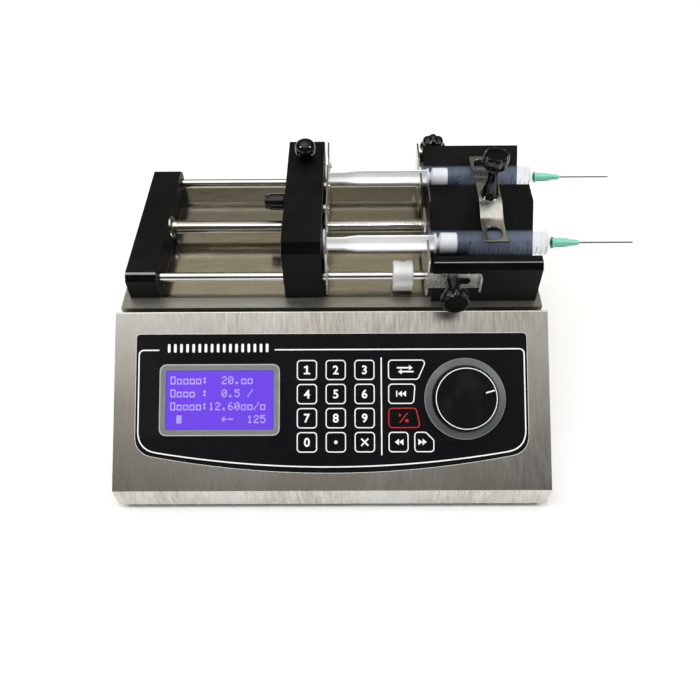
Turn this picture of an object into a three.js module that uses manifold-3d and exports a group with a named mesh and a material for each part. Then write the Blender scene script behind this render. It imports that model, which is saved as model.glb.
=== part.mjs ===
// Two-channel syringe pump. A stainless desk housing carries a sloped keypad panel at the front
// and, on its flat deck, a screw-driven pusher that empties two 10 ml syringes together.
//
// Millimetres. +X runs to the right, along the syringes; +Y to the rear; +Z up.
// The origin is under the middle of the whole object, on the surface that the feet stand on.
// Inside the model group, X = 0 is the housing's middle and Y = 0 is its front face.

import * as THREE from 'three';
import { mergeVertices } from 'three/addons/utils/BufferGeometryUtils.js';
import Module from 'manifold-3d';

const wasm = await Module();
wasm.setup();

// ---------------------------------------------------------------------------------------------
// Driving dimensions
// ---------------------------------------------------------------------------------------------

const GAP = 0.3;                 // clearance between pieces that touch on the real object
const SHEET = 1.5;               // thickness of the housing's folded sheets

// Housing
const HOUSING_WIDTH = 280;
const HOUSING_DEPTH = 223;
const FOOT_HEIGHT = 5;
const FOOT_RADIUS = 8;
const LIP_HEIGHT = 17.5;
const PANEL_LENGTH = 116;
const PANEL_SLOPE = THREE.MathUtils.degToRad(35.32);
const DECK_WIDTH = 274.2;
const DECK_FRONT = 96.85;
const TRAY_RIM = 7;
const TONGUE = 11;               // how far the deck shell's sides reach in behind the front cheeks
const REAR_FOLD = 9;             // depth of the flange folded down at the top of the panel
const DECK_FOLD = 12;            // depth of the flange folded down at the deck's front edge
const FEET = { x: 118, front: 17, rear: 206 };

// Panel features, in panel coordinates: u to the right, v up the slope, w out of the panel
const OVERLAY_HALF_WIDTH = 126;
const OVERLAY_TOP = 100.6;
const OVERLAY_LOWEST = 11;
const OVERLAY_SIDE_BOTTOM = 23.5;
const OVERLAY_FACE = 1.1;
const DISPLAY = { left: -110.6, right: -33, bottom: 34.8, top: 81 };
const DISPLAY_DEPTH = 9;
const KEYPAD_OPENING = { left: -25.5, right: 69, bottom: 21, top: 86.6 };
const KEY_COLUMNS = [-15.7, 2.75, 21.2];
const KEY_ROWS = [76.8, 61.4, 46, 30.7];
const KEY_SIZE = 13.4;
const KEY_FACE = 1.5;
const KEY_DEPTH = 2.7;
const FUNCTION_KEY_LEFT = 36.1;
const DIAL_U = 85.4;
const DIAL_V = 58.1;
const DIAL_RADIUS = 20;
const DIAL_FACE = 9;
const BEZEL_RADIUS = 26;
const BEZEL_FACE = 3.2;

// Mechanism, with heights measured from the deck
const SCREW_Y = 164;             // the mechanism is laid out evenly about the lead screw
const SHAFT_HEIGHT = 11;
const ROD_OFFSET = 49.6;
const ROD_RADIUS = 3;
const SCREW_RADIUS = 4.8;
const SYRINGE_OFFSETS = [-35.5, 34];
const SYRINGE_HEIGHT = 26.5;

const END_BLOCK = { left: -132.7, right: -113, halfDepth: 57.9, height: 18.6, chamfer: 3.9 };
const PUSHER = { left: -30.5, right: -5.5, halfDepth: 58.6, bottom: 1, height: 43.9, chamfer: 5.4 };
const RETAINER = { left: -3.4, right: -2.2 };
const COLLAR = { left: 40, right: 53, radius: 10 };
const HOLDER = { left: 65, right: 133.2, front: 101.85, rear: HOUSING_DEPTH, frontTop: 31.25, rearTop: 37 };
const GROOVE_BOTTOM = 15;
const RIDGE_TOP = 40;

// Syringes (10 ml) and their needles
const BARREL_RADIUS = 8.1;
const BORE_RADIUS = 7.2;
const BARREL_LEFT = 62.3;
const BARREL_FLANGE_RADIUS = 11;
const BARREL_FLANGE = 1.6;
const BARREL_SHOULDER = 139.5;
const BARREL_NOSE = 142.4;
const NOZZLE_END = 150;
const PLUNGER_HEAD_LEFT = 70.4;
const PLUNGER_HEAD_RIGHT = 81.3;
const PISTON_RIGHT = 89.3;
const HUB_LEFT = 142.9;
const HUB_RIGHT = 161.5;
const NEEDLE_TIP = 196.4;

// Drive under the deck
const BELT_CENTRE_X = 103.5;
const BELT_WIDTH = 6.4;
const SCREW_PULLEY_TEETH = 40;
const MOTOR_PULLEY_TEETH = 20;
const TOOTH_PITCH = 2;
const MOTOR_SIZE = 42.3;
const MOTOR_LENGTH = 34;
const BELT_SLOT = { left: 96, right: 111, halfDepth: 17 };
const PULLEY_POCKET = { left: 96, right: 111.5, halfDepth: 16.5, top: 28 };

// Clamp and flange brackets
const CLAMP_X = 104.5;
const CLAMP_SCREW_Y = 158.5;
const CLAMP_BAR = { width: 15, length: 90, thickness: 1.5, windowWidth: 10.3, windowLength: 13.3 };
const STRIP = 1.3;               // thickness of the flange brackets
const THUMBSCREWS = [
  { side: 'front', x: 77.2, height: 19.75 },
  { side: 'rear', x: 74.5, height: 23.45 },
];
const THUMBSCREW_REACH = 22.5;

// Derived heights
const PANEL_FOOT = FOOT_HEIGHT + LIP_HEIGHT;
const PANEL_TOP_Y = PANEL_LENGTH * Math.cos(PANEL_SLOPE);
const DECK_TOP = PANEL_FOOT + PANEL_LENGTH * Math.sin(PANEL_SLOPE);
const DECK_HALF = DECK_WIDTH / 2;
const HALF_WIDTH = HOUSING_WIDTH / 2;
const SYRINGE_YS = SYRINGE_OFFSETS.map((offset) => SCREW_Y + offset);
const ROD_YS = [SCREW_Y - ROD_OFFSET, SCREW_Y + ROD_OFFSET];
const OBJECT_REAR = HOLDER.rear + THUMBSCREW_REACH;

// ---------------------------------------------------------------------------------------------
// Materials
// ---------------------------------------------------------------------------------------------

function finish(color, roughness, metalness) {
  return new THREE.MeshStandardMaterial({ color, roughness, metalness });
}

const steel = finish(0xb9b6ac, 0.35, 0.9);
const polished = finish(0xd9d8d4, 0.12, 1);
const anodised = finish(0x1b1c1d, 0.5, 0.4);
const overlayBlack = finish(0x17191c, 0.6, 0);
const keyBlack = finish(0x202226, 0.55, 0);
const keyRed = finish(0x8f1d20, 0.55, 0);
const displayViolet = finish(0x5a57e0, 0.3, 0);
const dialBlack = finish(0x0b0b0c, 0.15, 0.1);
const greyRing = finish(0x77797c, 0.4, 0.5);
const knobBlack = finish(0x101011, 0.2, 0);
const rubber = finish(0x191a1c, 0.8, 0);
const board = finish(0x1f5a34, 0.6, 0);
const motorGrey = finish(0x3a3c3e, 0.5, 0.6);
const aluminium = finish(0xd3d4d3, 0.4, 0.9);
const brass = finish(0xb08d42, 0.4, 0.9);
const white = finish(0xf2f3f4, 0.45, 0);
const clear = finish(0xdfe6ec, 0.1, 0);
const pistonRubber = finish(0x23262d, 0.7, 0);
const hubGreen = finish(0x63cfae, 0.35, 0);

// ---------------------------------------------------------------------------------------------
// Shape helpers
// ---------------------------------------------------------------------------------------------

// The signed volume of an indexed mesh tells which way its faces point.
function signedVolume(positions, index) {
  const a = new THREE.Vector3();
  const b = new THREE.Vector3();
  const c = new THREE.Vector3();
  let total = 0;
  for (let i = 0; i < index.length; i += 3) {
    a.fromArray(positions, 3 * index[i]);
    b.fromArray(positions, 3 * index[i + 1]);
    c.fromArray(positions, 3 * index[i + 2]);
    total += a.dot(b.cross(c));
  }
  return total / 6;
}

// A three.js geometry as a manifold solid: vertices merged, collapsed triangles dropped, faces outward.
function toSolid(geometry) {
  const bare = geometry.clone();
  bare.deleteAttribute('normal');
  bare.deleteAttribute('uv');
  const merged = mergeVertices(bare, 1e-4);
  const positions = merged.attributes.position.array;
  const kept = [];
  for (let i = 0; i < merged.index.count; i += 3) {
    const [a, b, c] = [merged.index.getX(i), merged.index.getX(i + 1), merged.index.getX(i + 2)];
    if (a !== b && b !== c && c !== a) kept.push(a, b, c);
  }
  if (signedVolume(positions, kept) < 0) kept.reverse();
  const mesh = new wasm.Mesh({
    numProp: 3,
    vertProperties: Float32Array.from(positions),
    triVerts: Uint32Array.from(kept),
  });
  return new wasm.Manifold(mesh);
}

function toGeometry(solid) {
  const mesh = solid.getMesh();
  const geometry = new THREE.BufferGeometry();
  geometry.setAttribute('position', new THREE.BufferAttribute(mesh.vertProperties, 3));
  geometry.setIndex(new THREE.BufferAttribute(mesh.triVerts, 1));
  geometry.computeVertexNormals();
  return geometry;
}

function join(...pieces) {
  return toGeometry(pieces.map(toSolid).reduce((whole, piece) => whole.add(piece)));
}

function cut(base, ...tools) {
  return toGeometry(tools.map(toSolid).reduce((whole, tool) => whole.subtract(tool), toSolid(base)));
}

function box(x0, x1, y0, y1, z0, z1) {
  const geometry = new THREE.BoxGeometry(x1 - x0, y1 - y0, z1 - z0);
  return geometry.translate((x0 + x1) / 2, (y0 + y1) / 2, (z0 + z1) / 2);
}

// Turns a geometry built along +Y so that it runs along the named axis.
function turnAlong(geometry, axis) {
  if (axis === 'x') geometry.rotateZ(-Math.PI / 2);
  if (axis === 'z') geometry.rotateX(Math.PI / 2);
  if (axis === '-y') geometry.rotateX(Math.PI);
  return geometry;
}

// A round bar that starts at a point and runs along an axis.
function bar(axis, start, length, radius, sides = 24) {
  const geometry = new THREE.CylinderGeometry(radius, radius, length, sides);
  geometry.translate(0, length / 2, 0);
  return turnAlong(geometry, axis).translate(...start);
}

// A turned piece: the profile is a list of [radius, distance along the axis].
function turned(axis, start, profile, sides = 24) {
  const points = profile.map(([radius, along]) => new THREE.Vector2(radius, along));
  return turnAlong(new THREE.LatheGeometry(points, sides), axis).translate(...start);
}

function outline(points) {
  return new THREE.Shape(points.map(([a, b]) => new THREE.Vector2(a, b)));
}

// An outline drawn in the plane across the axis, extruded between two positions on it.
// Across x the outline is (y, z), across y it is (x, z), and across z it is (x, y).
function prism(axis, shape, from, to, curveSegments = 8) {
  const drawn = Array.isArray(shape) ? outline(shape) : shape;
  const settings = { depth: to - from, bevelEnabled: false, curveSegments };
  const geometry = new THREE.ExtrudeGeometry(drawn, settings);
  const x = new THREE.Vector3(1, 0, 0);
  const y = new THREE.Vector3(0, 1, 0);
  const z = new THREE.Vector3(0, 0, 1);
  const turn = new THREE.Matrix4();
  if (axis === 'x') turn.makeBasis(y, z, x).setPosition(from, 0, 0);
  if (axis === 'y') turn.makeBasis(x, z, y.clone().negate()).setPosition(0, to, 0);
  if (axis === 'z') turn.makeTranslation(0, 0, from);
  return geometry.applyMatrix4(turn);
}

// A bar profile across X whose two upper edges are cut off at 45 degrees.
function chamferedProfile(middle, halfDepth, bottom, top, chamfer) {
  return [
    [middle - halfDepth, bottom],
    [middle + halfDepth, bottom],
    [middle + halfDepth, top - chamfer],
    [middle + halfDepth - chamfer, top],
    [middle - halfDepth + chamfer, top],
    [middle - halfDepth, top - chamfer],
  ];
}

// ---------------------------------------------------------------------------------------------
// Groups
// ---------------------------------------------------------------------------------------------

const group = new THREE.Group();
const model = new THREE.Group();
model.position.set(-(NEEDLE_TIP - HALF_WIDTH) / 2, -OBJECT_REAR / 2, 0);
group.add(model);

const panel = new THREE.Group();
panel.position.set(0, 0, PANEL_FOOT);
panel.rotation.x = PANEL_SLOPE;
model.add(panel);

const deck = new THREE.Group();
deck.position.set(0, 0, DECK_TOP);
model.add(deck);

function part(parent, name, geometry, material) {
  const mesh = new THREE.Mesh(toGeometry(toSolid(geometry)), material);
  mesh.name = name;
  parent.add(mesh);
}

// Takes a cutter drawn in panel coordinates to the housing's own frame.
function fromPanel(geometry) {
  panel.updateMatrix();
  return geometry.applyMatrix4(panel.matrix);
}

// ---------------------------------------------------------------------------------------------
// Housing
// ---------------------------------------------------------------------------------------------

const INLET = { x: 90, z: 34, bodyWidth: 27, bodyHeight: 20, flangeWidth: 50, flangeHeight: 23 };
const SWITCH = { x: 52, z: 34, openingWidth: 16, openingHeight: 22.6 };
const VENT = { count: 10, left: -112, pitch: 8, width: 3, bottom: 24, top: 56 };
const LIFT = 1e-3;               // keeps the faces of joined pieces out of one plane

function panelCutters() {
  const depth = 4;
  const windowShape = outline([
    [DISPLAY.left - GAP, DISPLAY.bottom - GAP],
    [DISPLAY.right + GAP, DISPLAY.bottom - GAP],
    [DISPLAY.right + GAP, DISPLAY.top + GAP],
    [DISPLAY.left - GAP, DISPLAY.top + GAP],
  ]);
  const { left, right, bottom, top } = KEYPAD_OPENING;
  return [
    prism('z', windowShape, -depth, depth),
    box(left, right, bottom, top, -depth, depth),
    bar('z', [DIAL_U, DIAL_V, -depth], 2 * depth, 4),
  ];
}

function makeFrontShell() {
  const top = DECK_TOP;
  const outer = [[0, FOOT_HEIGHT], [PANEL_TOP_Y, FOOT_HEIGHT], [PANEL_TOP_Y, top], [0, PANEL_FOOT]];
  // The hollow under the sloped sheet is open below and to the rear.
  const open = 10;
  const slopeStart = PANEL_FOOT - SHEET / Math.cos(PANEL_SLOPE) + SHEET * Math.tan(PANEL_SLOPE);
  const slopeEnd = top - SHEET / Math.cos(PANEL_SLOPE) + open * Math.tan(PANEL_SLOPE);
  const inner = [
    [SHEET, FOOT_HEIGHT - open],
    [PANEL_TOP_Y + open, FOOT_HEIGHT - open],
    [PANEL_TOP_Y + open, slopeEnd],
    [SHEET, slopeStart],
  ];
  const hollow = prism('x', inner, -HALF_WIDTH + SHEET, HALF_WIDTH - SHEET);
  const fold = box(-HALF_WIDTH, HALF_WIDTH, PANEL_TOP_Y - SHEET, PANEL_TOP_Y, top - REAR_FOLD, top - 1);
  const bent = join(cut(prism('x', outer, -HALF_WIDTH, HALF_WIDTH), hollow), fold);
  return cut(bent, ...panelCutters().map(fromPanel));
}

function makeDeckShell() {
  const bottom = FOOT_HEIGHT;
  const inside = DECK_HALF - SHEET;
  const rear = HOUSING_DEPTH;
  const body = box(-DECK_HALF, DECK_HALF, DECK_FRONT, rear, bottom, DECK_TOP);
  const hollow = box(-inside, inside, DECK_FRONT - 1, rear - SHEET, bottom - 1, DECK_TOP - SHEET);
  const flangeFoot = DECK_TOP - DECK_FOLD;
  const frontFlange = box(
    -DECK_HALF, DECK_HALF, DECK_FRONT, DECK_FRONT + SHEET, flangeFoot, DECK_TOP - LIFT,
  );
  const tongues = [-1, 1].map((side) => {
    const middle = side * (DECK_HALF - SHEET / 2);
    const [left, right] = [middle - SHEET / 2, middle + SHEET / 2];
    return box(left, right, DECK_FRONT - TONGUE, DECK_FRONT + 1, bottom, flangeFoot - 2);
  });
  const { left: slotLeft, right: slotRight, halfDepth } = BELT_SLOT;
  const beltSlot = box(
    slotLeft, slotRight, SCREW_Y - halfDepth, SCREW_Y + halfDepth, DECK_TOP - 4, DECK_TOP + 1,
  );
  const wall = [rear - 4, rear + 1];
  const inletHole = box(
    INLET.x - INLET.bodyWidth / 2 - GAP, INLET.x + INLET.bodyWidth / 2 + GAP, ...wall,
    INLET.z - INLET.bodyHeight / 2 - GAP, INLET.z + INLET.bodyHeight / 2 + GAP,
  );
  const switchHole = box(
    SWITCH.x - SWITCH.openingWidth / 2, SWITCH.x + SWITCH.openingWidth / 2, ...wall,
    SWITCH.z - SWITCH.openingHeight / 2, SWITCH.z + SWITCH.openingHeight / 2,
  );
  const vents = [];
  for (let i = 0; i < VENT.count; i += 1) {
    const x = VENT.left + i * VENT.pitch;
    vents.push(box(x, x + VENT.width, ...wall, VENT.bottom, VENT.top));
  }
  const folded = join(cut(body, hollow), frontFlange, ...tongues);
  return cut(folded, beltSlot, inletHole, switchHole, ...vents);
}

// The tray is a rimmed floor, wider at the front, where the front shell's cheeks close around it.
function makeBaseTray() {
  const rearHalf = DECK_HALF - SHEET - GAP;
  const frontHalf = HALF_WIDTH - SHEET - GAP;
  const front = SHEET + 0.5;
  const step = DECK_FRONT - TONGUE - 0.5;
  const rear = HOUSING_DEPTH - SHEET - 0.5;
  const floorAt = (inset, bottom, top) => [
    box(-frontHalf + inset, frontHalf - inset, front + inset, step - inset, bottom, top),
    box(-rearHalf + inset, rearHalf - inset, step - inset - 5, rear - inset, bottom, top),
  ];
  const outside = join(...floorAt(0, FOOT_HEIGHT, FOOT_HEIGHT + TRAY_RIM));
  return cut(outside, ...floorAt(SHEET, FOOT_HEIGHT + SHEET, FOOT_HEIGHT + TRAY_RIM + 1));
}

function makeFoot() {
  const top = FOOT_HEIGHT - GAP;
  return turned('z', [0, 0, 0], [
    [0, 0],
    [FOOT_RADIUS - 1.4, 0],
    [FOOT_RADIUS - 0.8, 0.6],
    [FOOT_RADIUS, top],
    [0, top],
  ]);
}

// Standard three-pin mains inlet with its socket open to the rear.
function makePowerInlet() {
  const { x, z, bodyWidth, bodyHeight, flangeWidth, flangeHeight } = INLET;
  const face = HOUSING_DEPTH + 2.3;
  const body = box(
    x - bodyWidth / 2, x + bodyWidth / 2, face - 20, face, z - bodyHeight / 2, z + bodyHeight / 2,
  );
  const flange = box(
    x - flangeWidth / 2, x + flangeWidth / 2, HOUSING_DEPTH + GAP, face - LIFT,
    z - flangeHeight / 2, z + flangeHeight / 2,
  );
  const socket = box(x - 12, x + 12, face - 17, face + 1, z - 8, z + 8);
  const pinAt = (px, pz) => box(px - 1, px + 1, face - 18, face - 6.5, pz - 2, pz + 2);
  const shell = cut(join(body, flange), socket);
  return join(shell, pinAt(x - 7, z - 1.5), pinAt(x + 7, z - 1.5), pinAt(x, z + 2.5));
}

// The rocker rests with its lower end out. Its shallow V face turns about a pin in X.
function makePowerSwitch() {
  const halfWidth = 6.5;
  const rocker = prism('x', [[-5, -8], [6, -9.2], [4.6, 0], [6, 9.2], [-5, 8]], -halfWidth, halfWidth);
  rocker.rotateX(THREE.MathUtils.degToRad(6));
  return rocker.translate(SWITCH.x, HOUSING_DEPTH - 4, SWITCH.z);
}

part(model, 'base_tray', makeBaseTray(), steel);
part(model, 'front_shell', makeFrontShell(), steel);
part(model, 'deck_shell', makeDeckShell(), steel);
part(model, 'power_inlet', makePowerInlet(), knobBlack);
part(model, 'power_switch', makePowerSwitch(), knobBlack);

for (const [side, x] of [['left', -FEET.x], ['right', FEET.x]]) {
  for (const [end, y] of [['front', FEET.front], ['rear', FEET.rear]]) {
    part(model, `foot_${end}_${side}`, makeFoot().translate(x, y, 0), rubber);
  }
}

// ---------------------------------------------------------------------------------------------
// Sloped panel: overlay, display, keys and dial
// ---------------------------------------------------------------------------------------------

// Black overlay whose lower edge sags in one long arc between two round corners.
function overlayShape() {
  const side = OVERLAY_HALF_WIDTH;
  const corner = 12;
  const topCorner = 3;
  const shape = new THREE.Shape();
  shape.moveTo(-side + topCorner, OVERLAY_TOP);
  shape.quadraticCurveTo(-side, OVERLAY_TOP, -side, OVERLAY_TOP - topCorner);
  shape.lineTo(-side, OVERLAY_SIDE_BOTTOM + corner);
  shape.quadraticCurveTo(-side, OVERLAY_SIDE_BOTTOM, -side + corner, OVERLAY_SIDE_BOTTOM - 2);
  const sag = 2 * OVERLAY_LOWEST - OVERLAY_SIDE_BOTTOM + 2;
  shape.quadraticCurveTo(0, sag, side - corner, OVERLAY_SIDE_BOTTOM - 2);
  shape.quadraticCurveTo(side, OVERLAY_SIDE_BOTTOM, side, OVERLAY_SIDE_BOTTOM + corner);
  shape.lineTo(side, OVERLAY_TOP - topCorner);
  shape.quadraticCurveTo(side, OVERLAY_TOP, side - topCorner, OVERLAY_TOP);
  return shape;
}

// Keys are four-sided pads. The function keys' right sides lean to follow the dial's ring.
function keyOutline({ left, topRight, bottomRight, bottom, top }, grow) {
  return outline([
    [left - grow, bottom - grow],
    [bottomRight + grow, bottom - grow],
    [topRight + grow, top + grow],
    [left - grow, top + grow],
  ]);
}

function squareKey(name, column, row) {
  const half = KEY_SIZE / 2;
  const u = KEY_COLUMNS[column];
  const v = KEY_ROWS[row];
  const right = u + half;
  return { name, left: u - half, topRight: right, bottomRight: right, bottom: v - half, top: v + half };
}

function functionKey(name, row, left, topRight, bottomRight) {
  const half = KEY_SIZE / 2;
  const v = KEY_ROWS[row];
  return { name, left, topRight, bottomRight, bottom: v - half, top: v + half };
}

const CONTROL_BOARD = { left: -28, right: 122, bottom: 14, top: 94, rear: -10.6, front: -9 };

const KEYS = [];
for (let digit = 1; digit <= 9; digit += 1) {
  KEYS.push(squareKey(`key_${digit}`, (digit - 1) % 3, Math.floor((digit - 1) / 3)));
}
KEYS.push(squareKey('key_0', 0, 3));
KEYS.push(squareKey('key_point', 1, 3));
KEYS.push(squareKey('key_clear', 2, 3));
KEYS.push(functionKey('key_change', 0, FUNCTION_KEY_LEFT, 61.8, 55.8));
KEYS.push(functionKey('key_rewind', 1, FUNCTION_KEY_LEFT, 54.2, 53));
KEYS.push(functionKey('key_run_stop', 2, FUNCTION_KEY_LEFT, 54.5, 57.4));
KEYS.push(functionKey('key_reverse', 3, FUNCTION_KEY_LEFT, 49.3, 49.3));
KEYS.push(functionKey('key_forward', 3, 52.5, 62, 65.7));

function makeOverlay() {
  const sheet = prism('z', overlayShape(), GAP, OVERLAY_FACE, 12);
  const windowHole = box(
    DISPLAY.left - GAP, DISPLAY.right + GAP, DISPLAY.bottom - GAP, DISPLAY.top + GAP,
    -1, OVERLAY_FACE + 1,
  );
  const keyHoles = KEYS.map((key) => prism('z', keyOutline(key, GAP), -1, OVERLAY_FACE + 1));
  const shaftHole = bar('z', [DIAL_U, DIAL_V, -1], OVERLAY_FACE + 2, 4);
  return cut(sheet, windowHole, shaftHole, ...keyHoles);
}

function makeDisplay() {
  const { left, right, bottom, top } = DISPLAY;
  return box(left, right, bottom, top, -DISPLAY_DEPTH, OVERLAY_FACE - 0.2);
}

function makeControlBoard() {
  const { left, right, bottom, top, rear, front } = CONTROL_BOARD;
  return box(left, right, bottom, top, rear, front);
}

function makeDialBezel() {
  const foot = OVERLAY_FACE + GAP;
  const inner = DIAL_RADIUS + 0.9;
  return turned('z', [DIAL_U, DIAL_V, 0], [
    [inner, foot],
    [BEZEL_RADIUS, foot],
    [BEZEL_RADIUS, foot + 0.8],
    [BEZEL_RADIUS - 1.2, BEZEL_FACE],
    [inner + 0.5, BEZEL_FACE],
    [inner, BEZEL_FACE - 0.5],
    [inner, foot],
  ], 40);
}

function makeDialKnob() {
  const foot = OVERLAY_FACE + 2 * GAP;
  return turned('z', [DIAL_U, DIAL_V, 0], [
    [0, -5.5],
    [3, -5.5],
    [3, foot],
    [DIAL_RADIUS, foot],
    [DIAL_RADIUS, DIAL_FACE - 1.2],
    [DIAL_RADIUS - 1.2, DIAL_FACE],
    [0, DIAL_FACE],
  ], 40);
}

part(panel, 'front_overlay', makeOverlay(), overlayBlack);
part(panel, 'lcd_module', makeDisplay(), displayViolet);
part(panel, 'dial_bezel', makeDialBezel(), greyRing);
part(panel, 'dial_knob', makeDialKnob(), dialBlack);
part(panel, 'control_board', makeControlBoard(), board);
for (const key of KEYS) {
  const pad = prism('z', keyOutline(key, 0), KEY_FACE - KEY_DEPTH, KEY_FACE);
  part(panel, key.name, pad, key.name === 'key_run_stop' ? keyRed : keyBlack);
}

// ---------------------------------------------------------------------------------------------
// Drive: end block, guide rods, lead screw, belt and motor
// ---------------------------------------------------------------------------------------------

const ROD_LEFT = -127;
const ROD_RIGHT = 80;
const SCREW_LEFT = -128;
const SCREW_RIGHT = 118;
const MOTOR_AXIS_Z = FOOT_HEIGHT + SHEET + GAP + MOTOR_SIZE / 2;
const BELT_THICKNESS = 1.4;

function pitchRadius(teeth) {
  return (teeth * TOOTH_PITCH) / (2 * Math.PI);
}

function rodHole(left, right, y, radius = ROD_RADIUS + 0.35) {
  return bar('x', [left, y, SHAFT_HEIGHT], right - left, radius);
}

function makeEndBlock() {
  const { left, right, halfDepth, height, chamfer } = END_BLOCK;
  const block = prism('x', chamferedProfile(SCREW_Y, halfDepth, GAP, height, chamfer), left, right);
  const holes = ROD_YS.map((y) => rodHole(ROD_LEFT - 1, right + 1, y));
  return cut(block, ...holes, rodHole(SCREW_LEFT - 1, right + 1, SCREW_Y, SCREW_RADIUS + 0.4));
}

// A toothed wheel across X, with four outline points to a tooth.
function toothedWheel(teeth, y, z) {
  const outer = pitchRadius(teeth);
  const inner = outer - 0.75;
  const points = [];
  for (let tooth = 0; tooth < teeth; tooth += 1) {
    for (const [share, radius] of [[0, inner], [0.3, inner], [0.45, outer], [0.85, outer]]) {
      const angle = (2 * Math.PI * (tooth + share)) / teeth;
      points.push([y + radius * Math.cos(angle), z + radius * Math.sin(angle)]);
    }
  }
  const half = BELT_WIDTH / 2 + 0.8;
  return prism('x', points, BELT_CENTRE_X - half, BELT_CENTRE_X + half);
}

// The belt's outline is the hull of two circles, one above the other.
function beltLoop(upperRadius, lowerRadius, upperZ, lowerZ) {
  const lean = Math.asin((upperRadius - lowerRadius) / (upperZ - lowerZ));
  const steps = 16;
  const points = [];
  for (let i = 0; i <= steps; i += 1) {
    const angle = -lean + ((Math.PI + 2 * lean) * i) / steps;
    points.push([SCREW_Y + upperRadius * Math.cos(angle), upperZ + upperRadius * Math.sin(angle)]);
  }
  for (let i = 0; i <= steps; i += 1) {
    const angle = Math.PI + lean + ((Math.PI - 2 * lean) * i) / steps;
    points.push([SCREW_Y + lowerRadius * Math.cos(angle), lowerZ + lowerRadius * Math.sin(angle)]);
  }
  return points;
}

function makeBelt() {
  const upper = pitchRadius(SCREW_PULLEY_TEETH) + GAP;
  const lower = pitchRadius(MOTOR_PULLEY_TEETH) + GAP;
  const upperZ = DECK_TOP + SHAFT_HEIGHT;
  const from = BELT_CENTRE_X - BELT_WIDTH / 2;
  const to = BELT_CENTRE_X + BELT_WIDTH / 2;
  const outside = beltLoop(upper + BELT_THICKNESS, lower + BELT_THICKNESS, upperZ, MOTOR_AXIS_Z);
  const inside = beltLoop(upper, lower, upperZ, MOTOR_AXIS_Z);
  return cut(prism('x', outside, from, to), prism('x', inside, from - 1, to + 1));
}

function makeMotor() {
  const right = BELT_CENTRE_X - BELT_WIDTH / 2 - 5;
  const half = MOTOR_SIZE / 2;
  const corner = 4;
  const profile = [
    [-half + corner, -half], [half - corner, -half], [half, -half + corner], [half, half - corner],
    [half - corner, half], [-half + corner, half], [-half, half - corner], [-half, -half + corner],
  ].map(([y, z]) => [SCREW_Y + y, MOTOR_AXIS_Z + z]);
  const boss = bar('x', [right - 1, SCREW_Y, MOTOR_AXIS_Z], 3, 11);
  return join(prism('x', profile, right - MOTOR_LENGTH, right), boss);
}

function makeMotorPulley() {
  const shaftLeft = BELT_CENTRE_X - BELT_WIDTH / 2 - 2.6;
  const shaft = bar('x', [shaftLeft, SCREW_Y, MOTOR_AXIS_Z], 12, 2.5);
  return join(toothedWheel(MOTOR_PULLEY_TEETH, SCREW_Y, MOTOR_AXIS_Z), shaft);
}

function makeScrewPulley() {
  const bore = bar('x', [90, SCREW_Y, SHAFT_HEIGHT], 30, SCREW_RADIUS + GAP);
  return cut(toothedWheel(SCREW_PULLEY_TEETH, SCREW_Y, SHAFT_HEIGHT), bore);
}

function makeRod(y) {
  return bar('x', [ROD_LEFT, y, SHAFT_HEIGHT], ROD_RIGHT - ROD_LEFT, ROD_RADIUS);
}

function makeLeadScrew() {
  return bar('x', [SCREW_LEFT, SCREW_Y, SHAFT_HEIGHT], SCREW_RIGHT - SCREW_LEFT, SCREW_RADIUS);
}

part(deck, 'left_end_block', makeEndBlock(), anodised);
part(deck, 'front_guide_rod', makeRod(ROD_YS[0]), polished);
part(deck, 'rear_guide_rod', makeRod(ROD_YS[1]), polished);
part(deck, 'lead_screw', makeLeadScrew(), polished);
part(deck, 'screw_pulley', makeScrewPulley(), aluminium);
part(model, 'timing_belt', makeBelt(), rubber);
part(model, 'drive_motor', makeMotor(), motorGrey);
part(model, 'motor_pulley', makeMotorPulley(), aluminium);

// ---------------------------------------------------------------------------------------------
// Pusher carriage
// ---------------------------------------------------------------------------------------------

const BUTTON = { y: 170, height: 27.9, radius: 5.7, left: -45.8, seat: 6 };
const PUSHER_KNOB = { x: -18, y: 195.5 };
const NUT_POCKET = { left: -27, right: -9, halfDepth: 10, top: 34 };

function makePusher() {
  const { left, right, halfDepth, bottom, height, chamfer } = PUSHER;
  const block = prism('x', chamferedProfile(SCREW_Y, halfDepth, bottom, height, chamfer), left, right);
  const { halfDepth: reach, top } = NUT_POCKET;
  const pocket = box(NUT_POCKET.left, NUT_POCKET.right, SCREW_Y - reach, SCREW_Y + reach, bottom - 1, top);
  const rods = ROD_YS.map((y) => rodHole(left - 1, right + 1, y, ROD_RADIUS + 0.5));
  const screw = rodHole(left - 1, right + 1, SCREW_Y, SCREW_RADIUS + 0.8);
  const seat = bar('x', [left - 1, BUTTON.y, BUTTON.height], BUTTON.seat + 1, BUTTON.radius + 0.4);
  const stem = bar('x', [left, BUTTON.y, BUTTON.height], 10, 3.4);
  const knobHole = bar('z', [PUSHER_KNOB.x, PUSHER_KNOB.y, height - 12], 13, 2.5);
  return cut(block, pocket, ...rods, screw, seat, stem, knobHole);
}

function makeReleaseButton() {
  const { y, height, radius, left } = BUTTON;
  const length = PUSHER.left + 2 - left;
  return turned('x', [left, y, height], [
    [0, 0],
    [radius - 0.7, 0],
    [radius, 0.7],
    [radius, 2],
    [radius - 0.5, 2.6],
    [radius - 0.5, length],
    [3, length],
    [3, length + 6],
    [0, length + 6],
  ]);
}

function makePusherKnob() {
  return turned('z', [PUSHER_KNOB.x, PUSHER_KNOB.y, PUSHER.height], [
    [0, -11],
    [2.1, -11],
    [2.1, GAP],
    [4.6, GAP],
    [5, 2.5],
    [6.8, 5.5],
    [7.1, 8],
    [6.9, 11],
    [5.8, 13.4],
    [3.4, 14.9],
    [0, 15.4],
  ]);
}

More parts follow.
